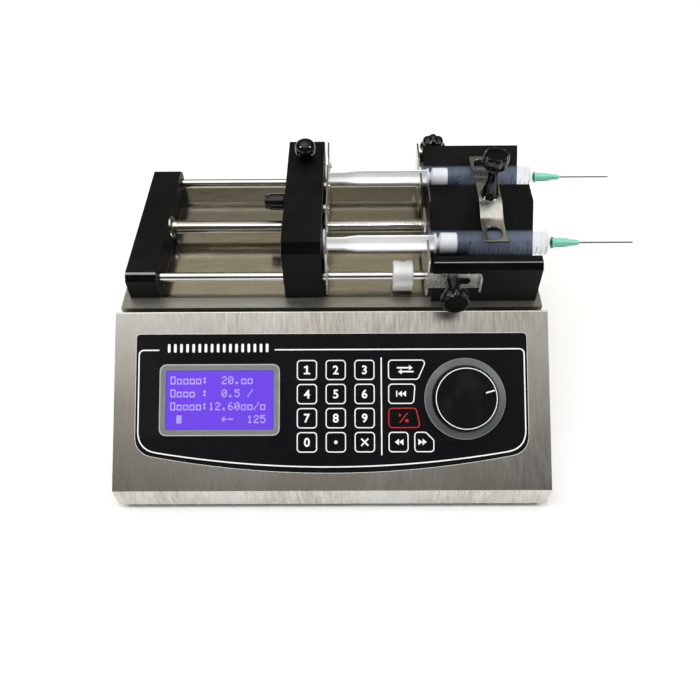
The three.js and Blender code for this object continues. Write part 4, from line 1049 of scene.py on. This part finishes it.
def make_dial():
    low, high = panel_box("dial_bezel")
    middle = Matrix.Translation(((low.x + high.x) / 2, (low.y + high.y) / 2, 0))
    place = PANEL @ middle
    outer, foot, top = (high.x - low.x) / 2, low.z - 0.25 * MM, high.z
    knob_low, knob_high = panel_box("dial_knob")
    knob = (knob_high.x - knob_low.x) / 2
    inner = knob + 0.9 * MM
    stem = 3 * MM
    ring = Piece("dial_ring")
    profile = [(inner, foot), (outer, foot), (outer, top - 1.3 * MM), (outer - 0.5 * MM, top - 0.75 * MM)]
    profile += [(inner + 1.2 * MM, top - 0.1 * MM), (inner + 0.7 * MM, top), (inner, top - 0.5 * MM)]
    profile.append((inner, foot))
    ring.add(lathe(profile, 128), RING_GREY, place)
    rim = [(outer - 0.62 * MM, top - 0.72 * MM), (outer - 0.1 * MM, top - 1.15 * MM)]
    rim += [(outer + 0.03 * MM, top - 1.2 * MM), (outer - 0.5 * MM, top - 0.62 * MM), rim[0]]
    ring.add(lathe(rim, 128), RING_LIGHT, place)
    # Floor of the ring, with a hole that the dial's stem turns in
    hole = stem + 0.5 * MM
    floor = [(hole, foot), (inner, foot), (inner, foot + 0.2 * MM), (hole, foot + 0.2 * MM), (hole, foot)]
    ring.add(lathe(floor, 96), KNOB, place)
    ring.ride("root", "bezel_grey", "dial_bezel")

    dial = Piece("dial")
    side, cap = knob_low.z, knob_high.z
    skirt = panel_box("front_overlay")[1].z + 0.6 * MM
    profile = [(0, side), (stem, side), (stem, skirt), (knob - 0.4 * MM, skirt), (knob, skirt + 0.5 * MM)]
    profile += [(knob, cap - 1.5 * MM), (knob - 0.9 * MM, cap - 0.35 * MM)]
    profile += [(knob - 1.6 * MM, cap - 0.3 * MM), (0.55 * knob, cap - 0.42 * MM), (0, cap - 0.5 * MM)]
    dial.add(lathe(profile, 128), DIAL_FACE, place)
    # Painted highlight: a thin white ring round the dial's rim stands in for the glint on its edge
    line = [(knob - 1.05 * MM, cap - 0.5 * MM), (knob - 0.55 * MM, cap - 0.6 * MM)]
    line += [(knob - 0.55 * MM, cap - 0.3 * MM), (knob - 1.05 * MM, cap - 0.24 * MM), line[0]]
    dial.add(lathe(line, 128), INK_WHITE, place)
    angle = math.radians(16)
    mark = rounded(rectangle(12.6 * MM, 18.4 * MM, -0.42 * MM, 0.42 * MM), 0.35 * MM, 3)
    turn = place @ Matrix.Rotation(angle, 4, "Z")
    dial.add(slab([mark], cap - 0.45 * MM, cap - 0.2 * MM), INK_WHITE, turn)
    dial.ride("dial", "dial_black", "dial_knob")


# ---------------------------------------------------------------------------------------------
# Drive
# ---------------------------------------------------------------------------------------------

def front_chamfer(at, normal):
    """The sloping face at the front top of a block."""
    return normal.y < -0.35 and normal.z > 0.35


def make_end_block():
    low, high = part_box("left_end_block")

    def front_shoulder(at):
        return at.z > high.z - 0.1 * MM and abs(at.y - low.y - 3.9 * MM) < 0.2 * MM

    shape = from_node("left_end_block", 0.4 * MM, 3, front_shoulder, 0.9 * MM)
    block = Piece("end_block").add(shape, ANODISED)
    # Painted shade: the front chamfer gets the darker anodised copy
    block.paint(ANODISED_SHADED, front_chamfer)
    # Painted highlight: the rounded top of the front shoulder, facing the light, gets the lighter edge metal
    block.paint(EDGE_HIGHLIGHT, lambda at, normal: normal.y < -0.1 and normal.z > 0.76 and at.y < low.y + 8 * MM)
    screw = centre("lead_screw")
    ring = [(5.6, 0), (7.6, 0), (7.6, 1.1), (7.2, 1.5), (6.2, 1.5), (5.6, 1.0), (5.6, 0)]
    block.add(turned(ring), FASTENER, along((1, 0, 0), (high.x, screw.y, screw.z)))
    for y in (low.y + 12 * MM, high.y - 12 * MM, screw.y):
        socket_screw(block, (low.x, y, screw.z), (-1, 0, 0), 3.4 * MM, 1.8 * MM)
    for y in (low.y + 8.3 * MM, high.y - 8.3 * MM):
        top = (low.x + 9.8 * MM, y, high.z - 0.6 * MM)
        socket_screw(block, top, (0, 0, 1), 1.7 * MM, 0.7 * MM, ANODISED)
    block.ride("root", "black_anodised", "left_end_block")


def pin(inner, radius, length, chamfer):
    """Profile of a round bar with chamfered ends, in millimetres."""
    points = [(inner, 0), (radius - chamfer, 0), (radius, chamfer)]
    return points + [(radius, length - chamfer), (radius - chamfer, length), (inner, length)]


def make_rods():
    for side in ("front", "rear"):
        node = f"{side}_guide_rod"
        place, length, radius = lying(node)
        rod = Piece(f"{side}_rod").add(turned(pin(0, radius, length, 0.5), 56), CHROME, place)
        rod.ride("root", "polished_steel", node)

    low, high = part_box("lead_screw")
    radius = (high.z - low.z) / 2
    middle = centre("lead_screw")
    place = along((1, 0, 0), (0, middle.y, middle.z))
    cut_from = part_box("left_end_block")[1].x + 3 * MM
    cut_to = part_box("syringe_holder")[0].x + 4 * MM
    screw = Piece("threaded_screw")
    screw.add(thread(radius, radius - 0.13 * MM, cut_from, cut_to, 1 * MM, 2), SCREW_STEEL, place)
    for start, end in ((low.x, cut_from + 2.2 * MM), (cut_to - 2.2 * MM, high.x)):
        shank = pin(0, radius / MM - 0.02, (end - start) / MM, 0.4)
        screw.add(turned(shank, 48), SCREW_STEEL, place @ Matrix.Translation((0, 0, start)))
    screw.ride("screw", "polished_steel", "lead_screw")

    place, length, radius = lying("stop_collar")
    bore = radius - 6.7
    profile = [*pin(bore, radius, length, 0.5), (bore, 0)]
    collar = Piece("collar").add(bevel(turned(profile, 72), 0.15 * MM), COLLAR_ALUMINIUM, place)
    outward = Vector((0, 0.5, 0.866))
    socket_screw(collar, centre("stop_collar") + outward * (radius - 0.5) * MM, outward, 2 * MM, 0.7 * MM)
    collar.ride("stop_collar", "aluminium_plain", "stop_collar")


def make_carriage():
    low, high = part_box("pusher_block")
    screw = centre("lead_screw")
    block = Piece("pusher").add(from_node("pusher_block", 0.4 * MM, 3), ANODISED)

    # Painted highlight on the bevels that face up and towards the light
    def highlight_faces(at, normal):
        right_edge = 0.25 < normal.x < 0.9 and normal.z > 0.2
        left_edge = -0.9 < normal.x < -0.25 and normal.y < -0.25
        return right_edge or left_edge

    # Painted shade: the front chamfer gets the darker anodised copy
    block.paint(ANODISED_SHADED, front_chamfer)
    # Painted highlight on the lit bevels
    block.paint(EDGE_HIGHLIGHT, highlight_faces)
    front = (high.x - 5.5 * MM, low.y, low.z + 11 * MM)
    socket_screw(block, front, (0, -1, 0), 1.7 * MM, 0.35 * MM, ANODISED)
    for rod in ("front_guide_rod", "rear_guide_rod"):
        washer(block, (low.x, centre(rod).y, screw.z), (-1, 0, 0), 5.6 * MM, 4.0 * MM, 0.7 * MM, ANODISED)
    for y in (low.y + 16 * MM, high.y - 16 * MM):
        socket_screw(block, (low.x, y, high.z - 9 * MM), (-1, 0, 0), 2.3 * MM, 0.8 * MM, ANODISED)
    block.ride("carriage", "black_anodised", "pusher_block")

    plate_low, plate_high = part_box("plunger_retainer")
    plate = Piece("retainer_plate").add(from_node("plunger_retainer", 0.2 * MM), STEEL_STRIP)
    right = plate_high.x
    for y in (screw.y - 12 * MM, screw.y + 12 * MM):
        socket_screw(plate, (right, y, plate_high.z - 7.6 * MM), (1, 0, 0), 2.8 * MM, 1.5 * MM)
    for y in (plate_low.y + 4 * MM, plate_high.y - 4 * MM):
        socket_screw(plate, (right, y, plate_low.z + 20 * MM), (1, 0, 0), 2 * MM, 1.1 * MM)
    plate.ride("carriage", "bracket_steel", "plunger_retainer")

    place, length, reach = lying("release_button")
    profile = [(0, 0.3), (0.6 * reach, 0.2), (reach - 1.6, 0.0), (reach - 0.9, 0.3), (reach - 0.7, 1.0)]
    profile += [(reach - 0.8, 2.4), (reach - 0.3, 3.0), (reach, 3.7), (reach, 12.6), (reach - 0.4, 13.2)]
    profile += [(reach - 1.3, 13.4), (reach - 1.3, 16.6), (3, 16.9), (3, length), (0, length)]
    button = Piece("release_push_button").add(turned(profile), KNOB, place)
    button.ride("release_button", "knob_black", "release_button")

    low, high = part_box("pusher_knob")
    middle = centre("pusher_knob")
    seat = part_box("pusher_block")[1].z
    foot, top = (low.z - seat) / MM, (high.z - seat) / MM
    profile = [(0, foot), (2.1, foot), (2.1, 0.3), (4.6, 0.3), (4.9, 0.8), (4.7, 1.8), (5.0, 2.8)]
    profile += [(6.3, 4.4), (6.95, 5.8), (7.1, 7.4), (7.1, 9.6), (6.95, 10.8), (6.5, 12.2), (5.7, 13.4)]
    profile += [(4.4, 14.4), (2.8, 15.0), (1.3, 15.3), (0, top)]
    place = Matrix.Translation((middle.x, middle.y, seat))
    knob = Piece("pusher_mushroom_knob").add(turned(profile, 96), KNOB, place)
    knob.ride("pusher_knob", "knob_black", "pusher_knob")


# ---------------------------------------------------------------------------------------------
# Syringe holder
# ---------------------------------------------------------------------------------------------

def star_knob(name, node, axis, base, head_length, neck_length, base_radius, neck, stud):
    """A scalloped knob on a long waisted neck, drawn from its seat at base along an axis.

    Lengths are in millimetres; stud is the radius and length of the screw below the seat.
    """
    low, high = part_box(node)
    across = [high[i] - low[i] for i in range(3) if abs(axis[i]) < 0.5]
    radius = max(across) / 2 / MM
    top = neck_length + head_length
    profile = [(0, -stud[1]), (stud[0], -stud[1]), (stud[0], 0), (base_radius - 0.4, 0), (base_radius, 0.3)]
    profile += [(base_radius, 0.1 * neck_length), (base_radius - 0.3, 0.2 * neck_length)]
    profile += [(neck + 0.5, 0.45 * neck_length), (neck, 0.65 * neck_length), (neck, 0.88 * neck_length)]
    profile += [(neck + 0.7, 0.95 * neck_length), (0.66 * radius, neck_length, 0.3)]
    for share, reach in ((0.05, 0.76), (0.2, 0.88), (0.42, 0.98), (0.6, 1.0), (0.76, 0.99), (0.9, 0.94)):
        profile.append((reach * radius, neck_length + share * head_length, 1))
    profile += [(0.88 * radius, top, 0.9), (0.82 * radius, top + 0.3, 0.4), (0.76 * radius, top + 0.25)]
    profile += [(0.7 * radius, top - 0.1), (0.4 * radius, top + 0.4), (0, top + 0.6)]
    piece = Piece(name).add(turned(profile, 128, 8, 1.0 * MM), KNOB, along(axis, base))
    along_axis, seat = Vector(axis), Vector(base)

    def cap(at, normal):
        height = (at - seat).dot(along_axis)
        off_axis = (at - seat - height * along_axis).length
        return height > (top - 1) * MM and off_axis < 0.74 * radius * MM

    return piece.paint(KNOB_CAP, cap)


def make_holder():
    low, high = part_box("syringe_holder")
    ridge = high.z
    screw = centre("lead_screw")

    def soft(at):
        wall_top = at.z > low.z + 28 * MM and abs(at.y - low.y - 3.45 * MM) < 0.3 * MM
        ridge_left = at.z > ridge - 0.1 * MM and at.x < low.x + 0.1 * MM
        return wall_top or ridge_left

    # Painted highlight on the bevels that face up and towards the light
    def highlight_faces(at, normal):
        shoulder = at.y < low.y + 5 * MM and normal.y < -0.1 and 0.8 < normal.z < 0.99
        left_edge = at.z > ridge - 2 * MM and -0.9 < normal.x < -0.25 and normal.z > 0.2
        return shoulder or left_edge

    shape = from_node("syringe_holder", 0.4 * MM, 3, soft, 0.55 * MM)
    holder = Piece("holder_block").add(shape, ANODISED)
    # Painted shade: the front chamfer gets the darker anodised copy
    holder.paint(ANODISED_SHADED, lambda at, normal: front_chamfer(at, normal) and at.y < low.y + 5 * MM)
    # Painted highlight on the lit bevels
    holder.paint(EDGE_HIGHLIGHT, highlight_faces)
    socket_screw(holder, (high.x - 5 * MM, screw.y + 4 * MM, ridge), (0, 0, 1), 1.9 * MM, 0.4 * MM, ANODISED)
    for y in (low.y + 18 * MM, screw.y, high.y - 18 * MM):
        socket_screw(holder, (high.x, y, low.z + 8 * MM), (1, 0, 0), 3 * MM, 1.6 * MM, ANODISED)
    holder.ride("root", "black_anodised", "syringe_holder")

    bar = Piece("clamp_strip").add(from_node("clamp_bar", 0.2 * MM), STEEL_STRIP)
    low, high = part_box("clamp_bar")
    knob_axis = centre("clamp_knob")
    washer(bar, (knob_axis.x, knob_axis.y, high.z), (0, 0, 1), 6.6 * MM, 3.2 * MM, 0.28 * MM, CHROME)
    bar.ride("clamp_bar", "bracket_steel", "clamp_bar")

    knob_low, knob_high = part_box("clamp_knob")
    seat = high.z + 0.3 * MM
    head = 10.0
    neck_length = (knob_high.z - seat) / MM - head - 1.4
    stud = (2.9, (seat - knob_low.z) / MM)
    base = (knob_axis.x, knob_axis.y, seat)
    knob = star_knob("clamp_star_knob", "clamp_knob", (0, 0, 1), base, head, neck_length, 5.3, 3.4, stud)
    knob.ride("clamp_knob", "knob_black", "clamp_knob")

    for side, sign in (("front", -1), ("rear", 1)):
        node = f"{side}_flange_bracket"
        bracket = Piece(f"{side}_bracket").add(from_node(node, 0.18 * MM), STEEL_STRIP)
        bracket.ride(f"{side}_bracket", "bracket_steel", node)
        node = f"{side}_thumbscrew"
        middle = centre(node)
        outward = (0, sign, 0)
        inner, outer = (corner.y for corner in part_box(node)[::sign])
        seat_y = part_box("syringe_holder")[max(sign, 0)].y + sign * 1.9 * MM
        reach = abs(outer - seat_y) / MM
        head = 9.2
        stud = (2.2, abs(inner - seat_y) / MM)
        base = (middle.x, seat_y, middle.z)
        knob = star_knob(f"{side}_star_knob", node, outward, base, head, reach - head - 1.0, 5.0, 4.1, stud)
        under = (middle.x, seat_y - sign * 0.26 * MM, middle.z)
        washer(knob, under, outward, 4.9 * MM, 2.4 * MM, 0.25 * MM)
        knob.ride(node, "knob_black", node)


# ---------------------------------------------------------------------------------------------
# Syringes
# ---------------------------------------------------------------------------------------------

def add_ribs(piece, outline, half, edge, offset, material, place):
    """Four ribs round an axis, each half the given thickness to either side, in millimetres."""
    for quarter in range(4):
        rib = slab([[(r * MM, z * MM) for r, z in outline]], -half * MM, half * MM, edge * MM)
        stand = Matrix.Rotation(math.pi / 2 * quarter + offset, 4, "Z") @ Matrix.Rotation(math.pi / 2, 4, "X")
        piece.add(rib, material, place @ stand)


def make_barrel(side):
    node = f"{side}_barrel"
    low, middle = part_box(node)[0], centre(node)
    place, length, _ = lying(node)
    shoulder = length - 10.5
    nose = length - 7.6
    outer = 8.1
    wall = 0.9
    bore = outer - wall
    profile = [(bore, 0), (outer + 2.7, 0), (outer + 2.9, 0.3), (outer + 2.9, 1.3), (outer + 2.6, 1.6)]
    profile += [(outer + 0.4, 1.7), (outer, 2.1), (outer, shoulder - 0.6), (outer - 0.3, shoulder)]
    profile += [(3.6, nose - 0.3), (2.5, nose), (2.1, nose + 0.4), (2.0, length - 0.3), (1.7, length)]
    profile.append((1.1, length))
    profile += [(1.1, nose - 0.6), (bore - 0.8, shoulder - 0.2), (bore, shoulder - 0.9), (bore, 0)]
    barrel = Piece(f"{side}_syringe_barrel").add(turned(profile, 72), BARREL, place)
    hoop = [(outer, shoulder - 1.4), (outer + 0.12, shoulder - 1.2), (outer + 0.12, shoulder - 0.9)]
    hoop += [(outer, shoulder - 0.7), hoop[0]]
    barrel.add(turned(hoop, 72), BARREL, place)

    # Volume marks every half millilitre, with a figure at every second whole one
    millilitre = 6.1
    radius = outer + 0.02
    for half_ml in range(0, 18):
        x = shoulder - 1.5 - half_ml * millilitre / 2
        if x < 6:
            break
        whole = half_ml % 2 == 0
        first, last = math.radians(-26), math.radians(24 if whole else 10)
        bm = bmesh.new()
        rings = []
        steps = 8
        for step in range(steps + 1):
            angle = first + (last - first) * step / steps
            y, z = -radius * math.cos(angle), radius * math.sin(angle)
            rings.append([bm.verts.new(((x + shift) * MM, y * MM, z * MM)) for shift in (-0.16, 0.16)])
        for start, end in zip(rings, rings[1:]):
            bm.faces.new((start[0], start[1], end[1], end[0]))
        barrel.add(bm, INK_BLACK, Matrix.Translation((low.x, middle.y, middle.z)))
        if whole and half_ml and half_ml % 4 == 0:
            angle = math.radians(42)
            normal = Vector((0, -math.cos(angle), math.sin(angle)))
            upward = Vector((0, math.sin(angle), math.cos(angle)))
            turn = Matrix((Vector((1, 0, 0)), upward, normal)).transposed().to_4x4()
            at = Vector((low.x + x * MM, middle.y, middle.z)) + normal * (radius + 0.02) * MM
            text = lettering(str(half_ml // 2), 2.1 * MM, 0, 0.03 * MM, 0.01)
            barrel.add(text, INK_BLACK, Matrix.Translation(at) @ turn)
    barrel.ride("root", "barrel_clear", node)


def make_plunger(side):
    node = f"{side}_plunger"
    place, length, _ = lying(node)
    head = length - 10.9
    plunger = Piece(f"{side}_syringe_plunger")
    rest = [(0, 0), (9.1, 0), (9.6, 0.4), (9.6, 1.0), (9.1, 1.4), (3.0, 1.4), (0, 1.5)]
    plunger.add(turned(rest), WHITE_PLASTIC, place)
    # Four ribs, cut back a little next to the thumb rest
    outline = [(0.6, 0.9), (5.0, 0.9), (5.0, 13), (6.5, 22), (6.5, head - 3.0), (0.6, head - 3.0)]
    add_ribs(plunger, outline, 0.75, 0.25, 0, WHITE_PLASTIC, place)
    core = [(0, 1), (1.5, 1), (1.5, head - 3), (0, head - 3)]
    plunger.add(turned(core, 24), WHITE_PLASTIC, place)
    end = [(0, head - 3.6), (6.3, head - 3.6), (6.7, head - 3.2), (6.6, head - 2.6), (3.6, head - 1.6)]
    end += [(3.4, head - 1.0), (4.4, head - 0.3), (6.7, head + 0.4), (6.8, head + 0.9), (6.8, length - 0.5)]
    end += [(6.4, length), (0, length)]
    plunger.add(turned(end), WHITE_PLASTIC, place)
    plunger.ride("carriage", "plunger_white", node)

    node = f"{side}_piston"
    place, length, seal = lying(node)
    cuts = [(0.7, -0.3), (0.1, 0.1), (0, 0.5), (0, 1.2), (0.25, 1.7), (0.9, 2.1), (0.9, 2.9), (0.3, 3.3)]
    cuts += [(0.3, 4.0), (0.9, 4.4), (0.9, 5.0), (0.2, 5.5), (0, 5.9), (0, length - 0.9)]
    cuts += [(0.5, length - 0.3), (0.5 * seal, length)]
    profile = [(0, -0.3), *((seal - cut, height) for cut, height in cuts), (0, length)]
    piston = Piece(f"{side}_syringe_piston").add(turned(profile), PISTON, place)
    piston.ride("carriage", "piston_rubber", node)


def make_needle(side):
    node = f"{side}_needle"
    place, length, _ = lying(node)
    hub = length - 34.9
    profile = [(2.15, 0), (3.5, 0), (3.8, 0.2), (3.8, 1.0), (3.5, 1.3), (2.75, 1.5), (2.6, 8.5), (2.35, 9.4)]
    profile += [(1.7, 12.6), (1.45, hub - 1.2), (1.2, hub - 0.3), (0.8, hub), (0.45, hub - 0.5)]
    needle = Piece(f"{side}_hub_and_needle").add(turned(profile, 48), HUB, place)
    inside = [(0.45, hub - 0.5), (0.45, 9), (2.1, 8.6), (2.15, 0)]
    needle.add(turned(inside, 32), HUB, place)
    fin = [(1.2, 1.3), (3.0, 1.3), (2.9, 8.8), (2.1, 12.4), (1.75, hub - 1.5), (1.2, hub - 1.5)]
    add_ribs(needle, fin, 0.35, 0.12, math.pi / 4, HUB, place)
    tube = [(0, hub - 2), (0.47, hub - 2), (0.47, length - 1.6), (0.25, length - 0.5), (0, length)]
    needle.add(turned(tube, 16), CANNULA, place)
    needle.ride("root", "hub_green", node)


# ---------------------------------------------------------------------------------------------
# Carried-over inner parts
# ---------------------------------------------------------------------------------------------

def finish_inner_parts():
    finishes = {
        "control_board": BOARD,
        "drive_motor": MOTOR_STEEL,
        "motor_pulley": COLLAR_ALUMINIUM,
        "screw_pulley": COLLAR_ALUMINIUM,
        "timing_belt": BELT_RUBBER,
        "half_nut": BRASS,
    }
    for node, material in finishes.items():
        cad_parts[node].data.materials[0] = material


# ---------------------------------------------------------------------------------------------
# Stage
# ---------------------------------------------------------------------------------------------

def make_floor():
    bm = bmesh.new()
    bmesh.ops.create_grid(bm, x_segments=2, y_segments=2, size=4)
    mesh = bpy.data.meshes.new("floor")
    bm.to_mesh(mesh)
    bm.free()
    look = Look("floor", (0.93, 0.93, 0.93), roughness=0.9, specular_ior_level=0.1)
    mesh.materials.append(look.material)
    floor = bpy.data.objects.new("floor", mesh)
    floor.location.z = CAD_BOX[0].z - 0.0002
    bpy.context.scene.collection.objects.link(floor)


def make_light(name, location, target, size, power, glossy=True):
    data = bpy.data.lights.new(name, "AREA")
    data.shape = "RECTANGLE"
    data.size, data.size_y = size
    data.energy = power
    lamp = bpy.data.objects.new(name, data)
    lamp.location = location
    lamp.rotation_euler = (Vector(target) - Vector(location)).to_track_quat("-Z", "Y").to_euler()
    lamp.visible_glossy = glossy
    bpy.context.scene.collection.objects.link(lamp)


def ramp(tree, value, stops):
    """A colour ramp over the sine of the elevation, from degrees and colours."""
    made = tree.nodes.new("ShaderNodeValToRGB")
    tree.links.new(value, made.inputs[0])
    elements = made.color_ramp.elements
    while len(elements) > 1:
        elements.remove(elements[-1])
    for index, (degrees, color) in enumerate(stops):
        position = max(0.0, math.sin(math.radians(degrees)))
        element = elements[0] if index == 0 else elements.new(position)
        element.position = position
        element.color = (*color, 1)
    return made.outputs["Color"]


def make_world():
    """A light tent, bright overhead, with dark surroundings lower down in front and warm ones behind."""
    world = bpy.data.worlds.new("studio")
    bpy.context.scene.world = world
    world.use_nodes = True
    tree = world.node_tree
    sky = tree.nodes["Background"]
    direction = add_node(tree, "ShaderNodeTexCoord").outputs["Generated"]
    split = add_node(tree, "ShaderNodeSeparateXYZ", [(0, direction)]).outputs
    front = ramp(tree, split["Z"], FRONT_SKY)
    back = ramp(tree, split["Z"], BACK_SKY)
    behind = map_range(tree, split["Y"], -0.15, 0.15, 0.0, 1.0)
    mix = add_node(tree, "ShaderNodeMix", [(0, behind), (6, front), (7, back)], data_type="RGBA")
    tree.links.new(mix.outputs[2], sky.inputs["Color"])
    across = map_range(tree, split["X"], -0.28, 0.28, 1.34, 0.84)
    tree.links.new(across, sky.inputs["Strength"])


FRONT_SKY = (
    (0, (0.08, 0.08, 0.08)),
    (41, (0.045, 0.045, 0.045)),
    (48, (0.12, 0.11, 0.10)),
    (50, (0.28, 0.26, 0.235)),
    (56, (0.58, 0.55, 0.51)),
    (61, (1.02, 1.0, 0.96)),
    (68, (1.35, 1.35, 1.33)),
)
BACK_SKY = (
    (0, (0.06, 0.06, 0.055)),
    (37, (0.06, 0.055, 0.045)),
    (41, (0.49, 0.455, 0.365)),
    (52, (0.64, 0.60, 0.505)),
    (61, (0.70, 0.67, 0.62)),
    (68, (1.35, 1.35, 1.33)),
)


CAMERA_AT = (-0.013797, -0.33936, 0.423263)
CAMERA_TURN = (50.281, -0.4754, -0.6217)  # degrees down, to the side, and rolled
CAMERA_LENS = 36.129


def make_camera():
    """The camera stands in front of the panel and looks down at it."""
    data = bpy.data.cameras.new("camera")
    data.sensor_width = 36
    data.lens = CAMERA_LENS
    camera = bpy.data.objects.new("camera", data)
    down, yaw, roll = (math.radians(angle) for angle in CAMERA_TURN)
    forward = Vector((math.sin(yaw) * math.cos(down), math.cos(yaw) * math.cos(down), -math.sin(down)))
    right = Vector((math.cos(yaw), -math.sin(yaw), 0))
    up = right.cross(forward)
    level = Matrix((right, up, -forward)).transposed()
    turn = level @ Matrix.Rotation(roll, 3, "Z")
    camera.matrix_world = Matrix.Translation(CAMERA_AT) @ turn.to_4x4()
    bpy.context.scene.collection.objects.link(camera)
    bpy.context.scene.camera = camera


make_housing()
make_deck_plate()
make_housing_screws()
make_rear_panel()
make_overlay()
make_display()
make_keys()
make_dial()
make_end_block()
make_rods()
make_carriage()
make_holder()
for syringe in ("front", "rear"):
    make_barrel(syringe)
    make_plunger(syringe)
    make_needle(syringe)
finish_inner_parts()
make_floor()
make_world()
for side, sign in (("left", -1), ("right", 1)):
    make_light(f"{side}_softbox", (sign * 1.15, -0.25, 1.15), (0, 0.02, 0.06), (0.3, 0.3), 9)
make_light("floor_fill", (0, 0, 2.2), (0, 0, 0), (2.5, 2.5), 20, glossy=False)
make_camera()
bpy.context.scene.view_settings.view_transform = "Standard"
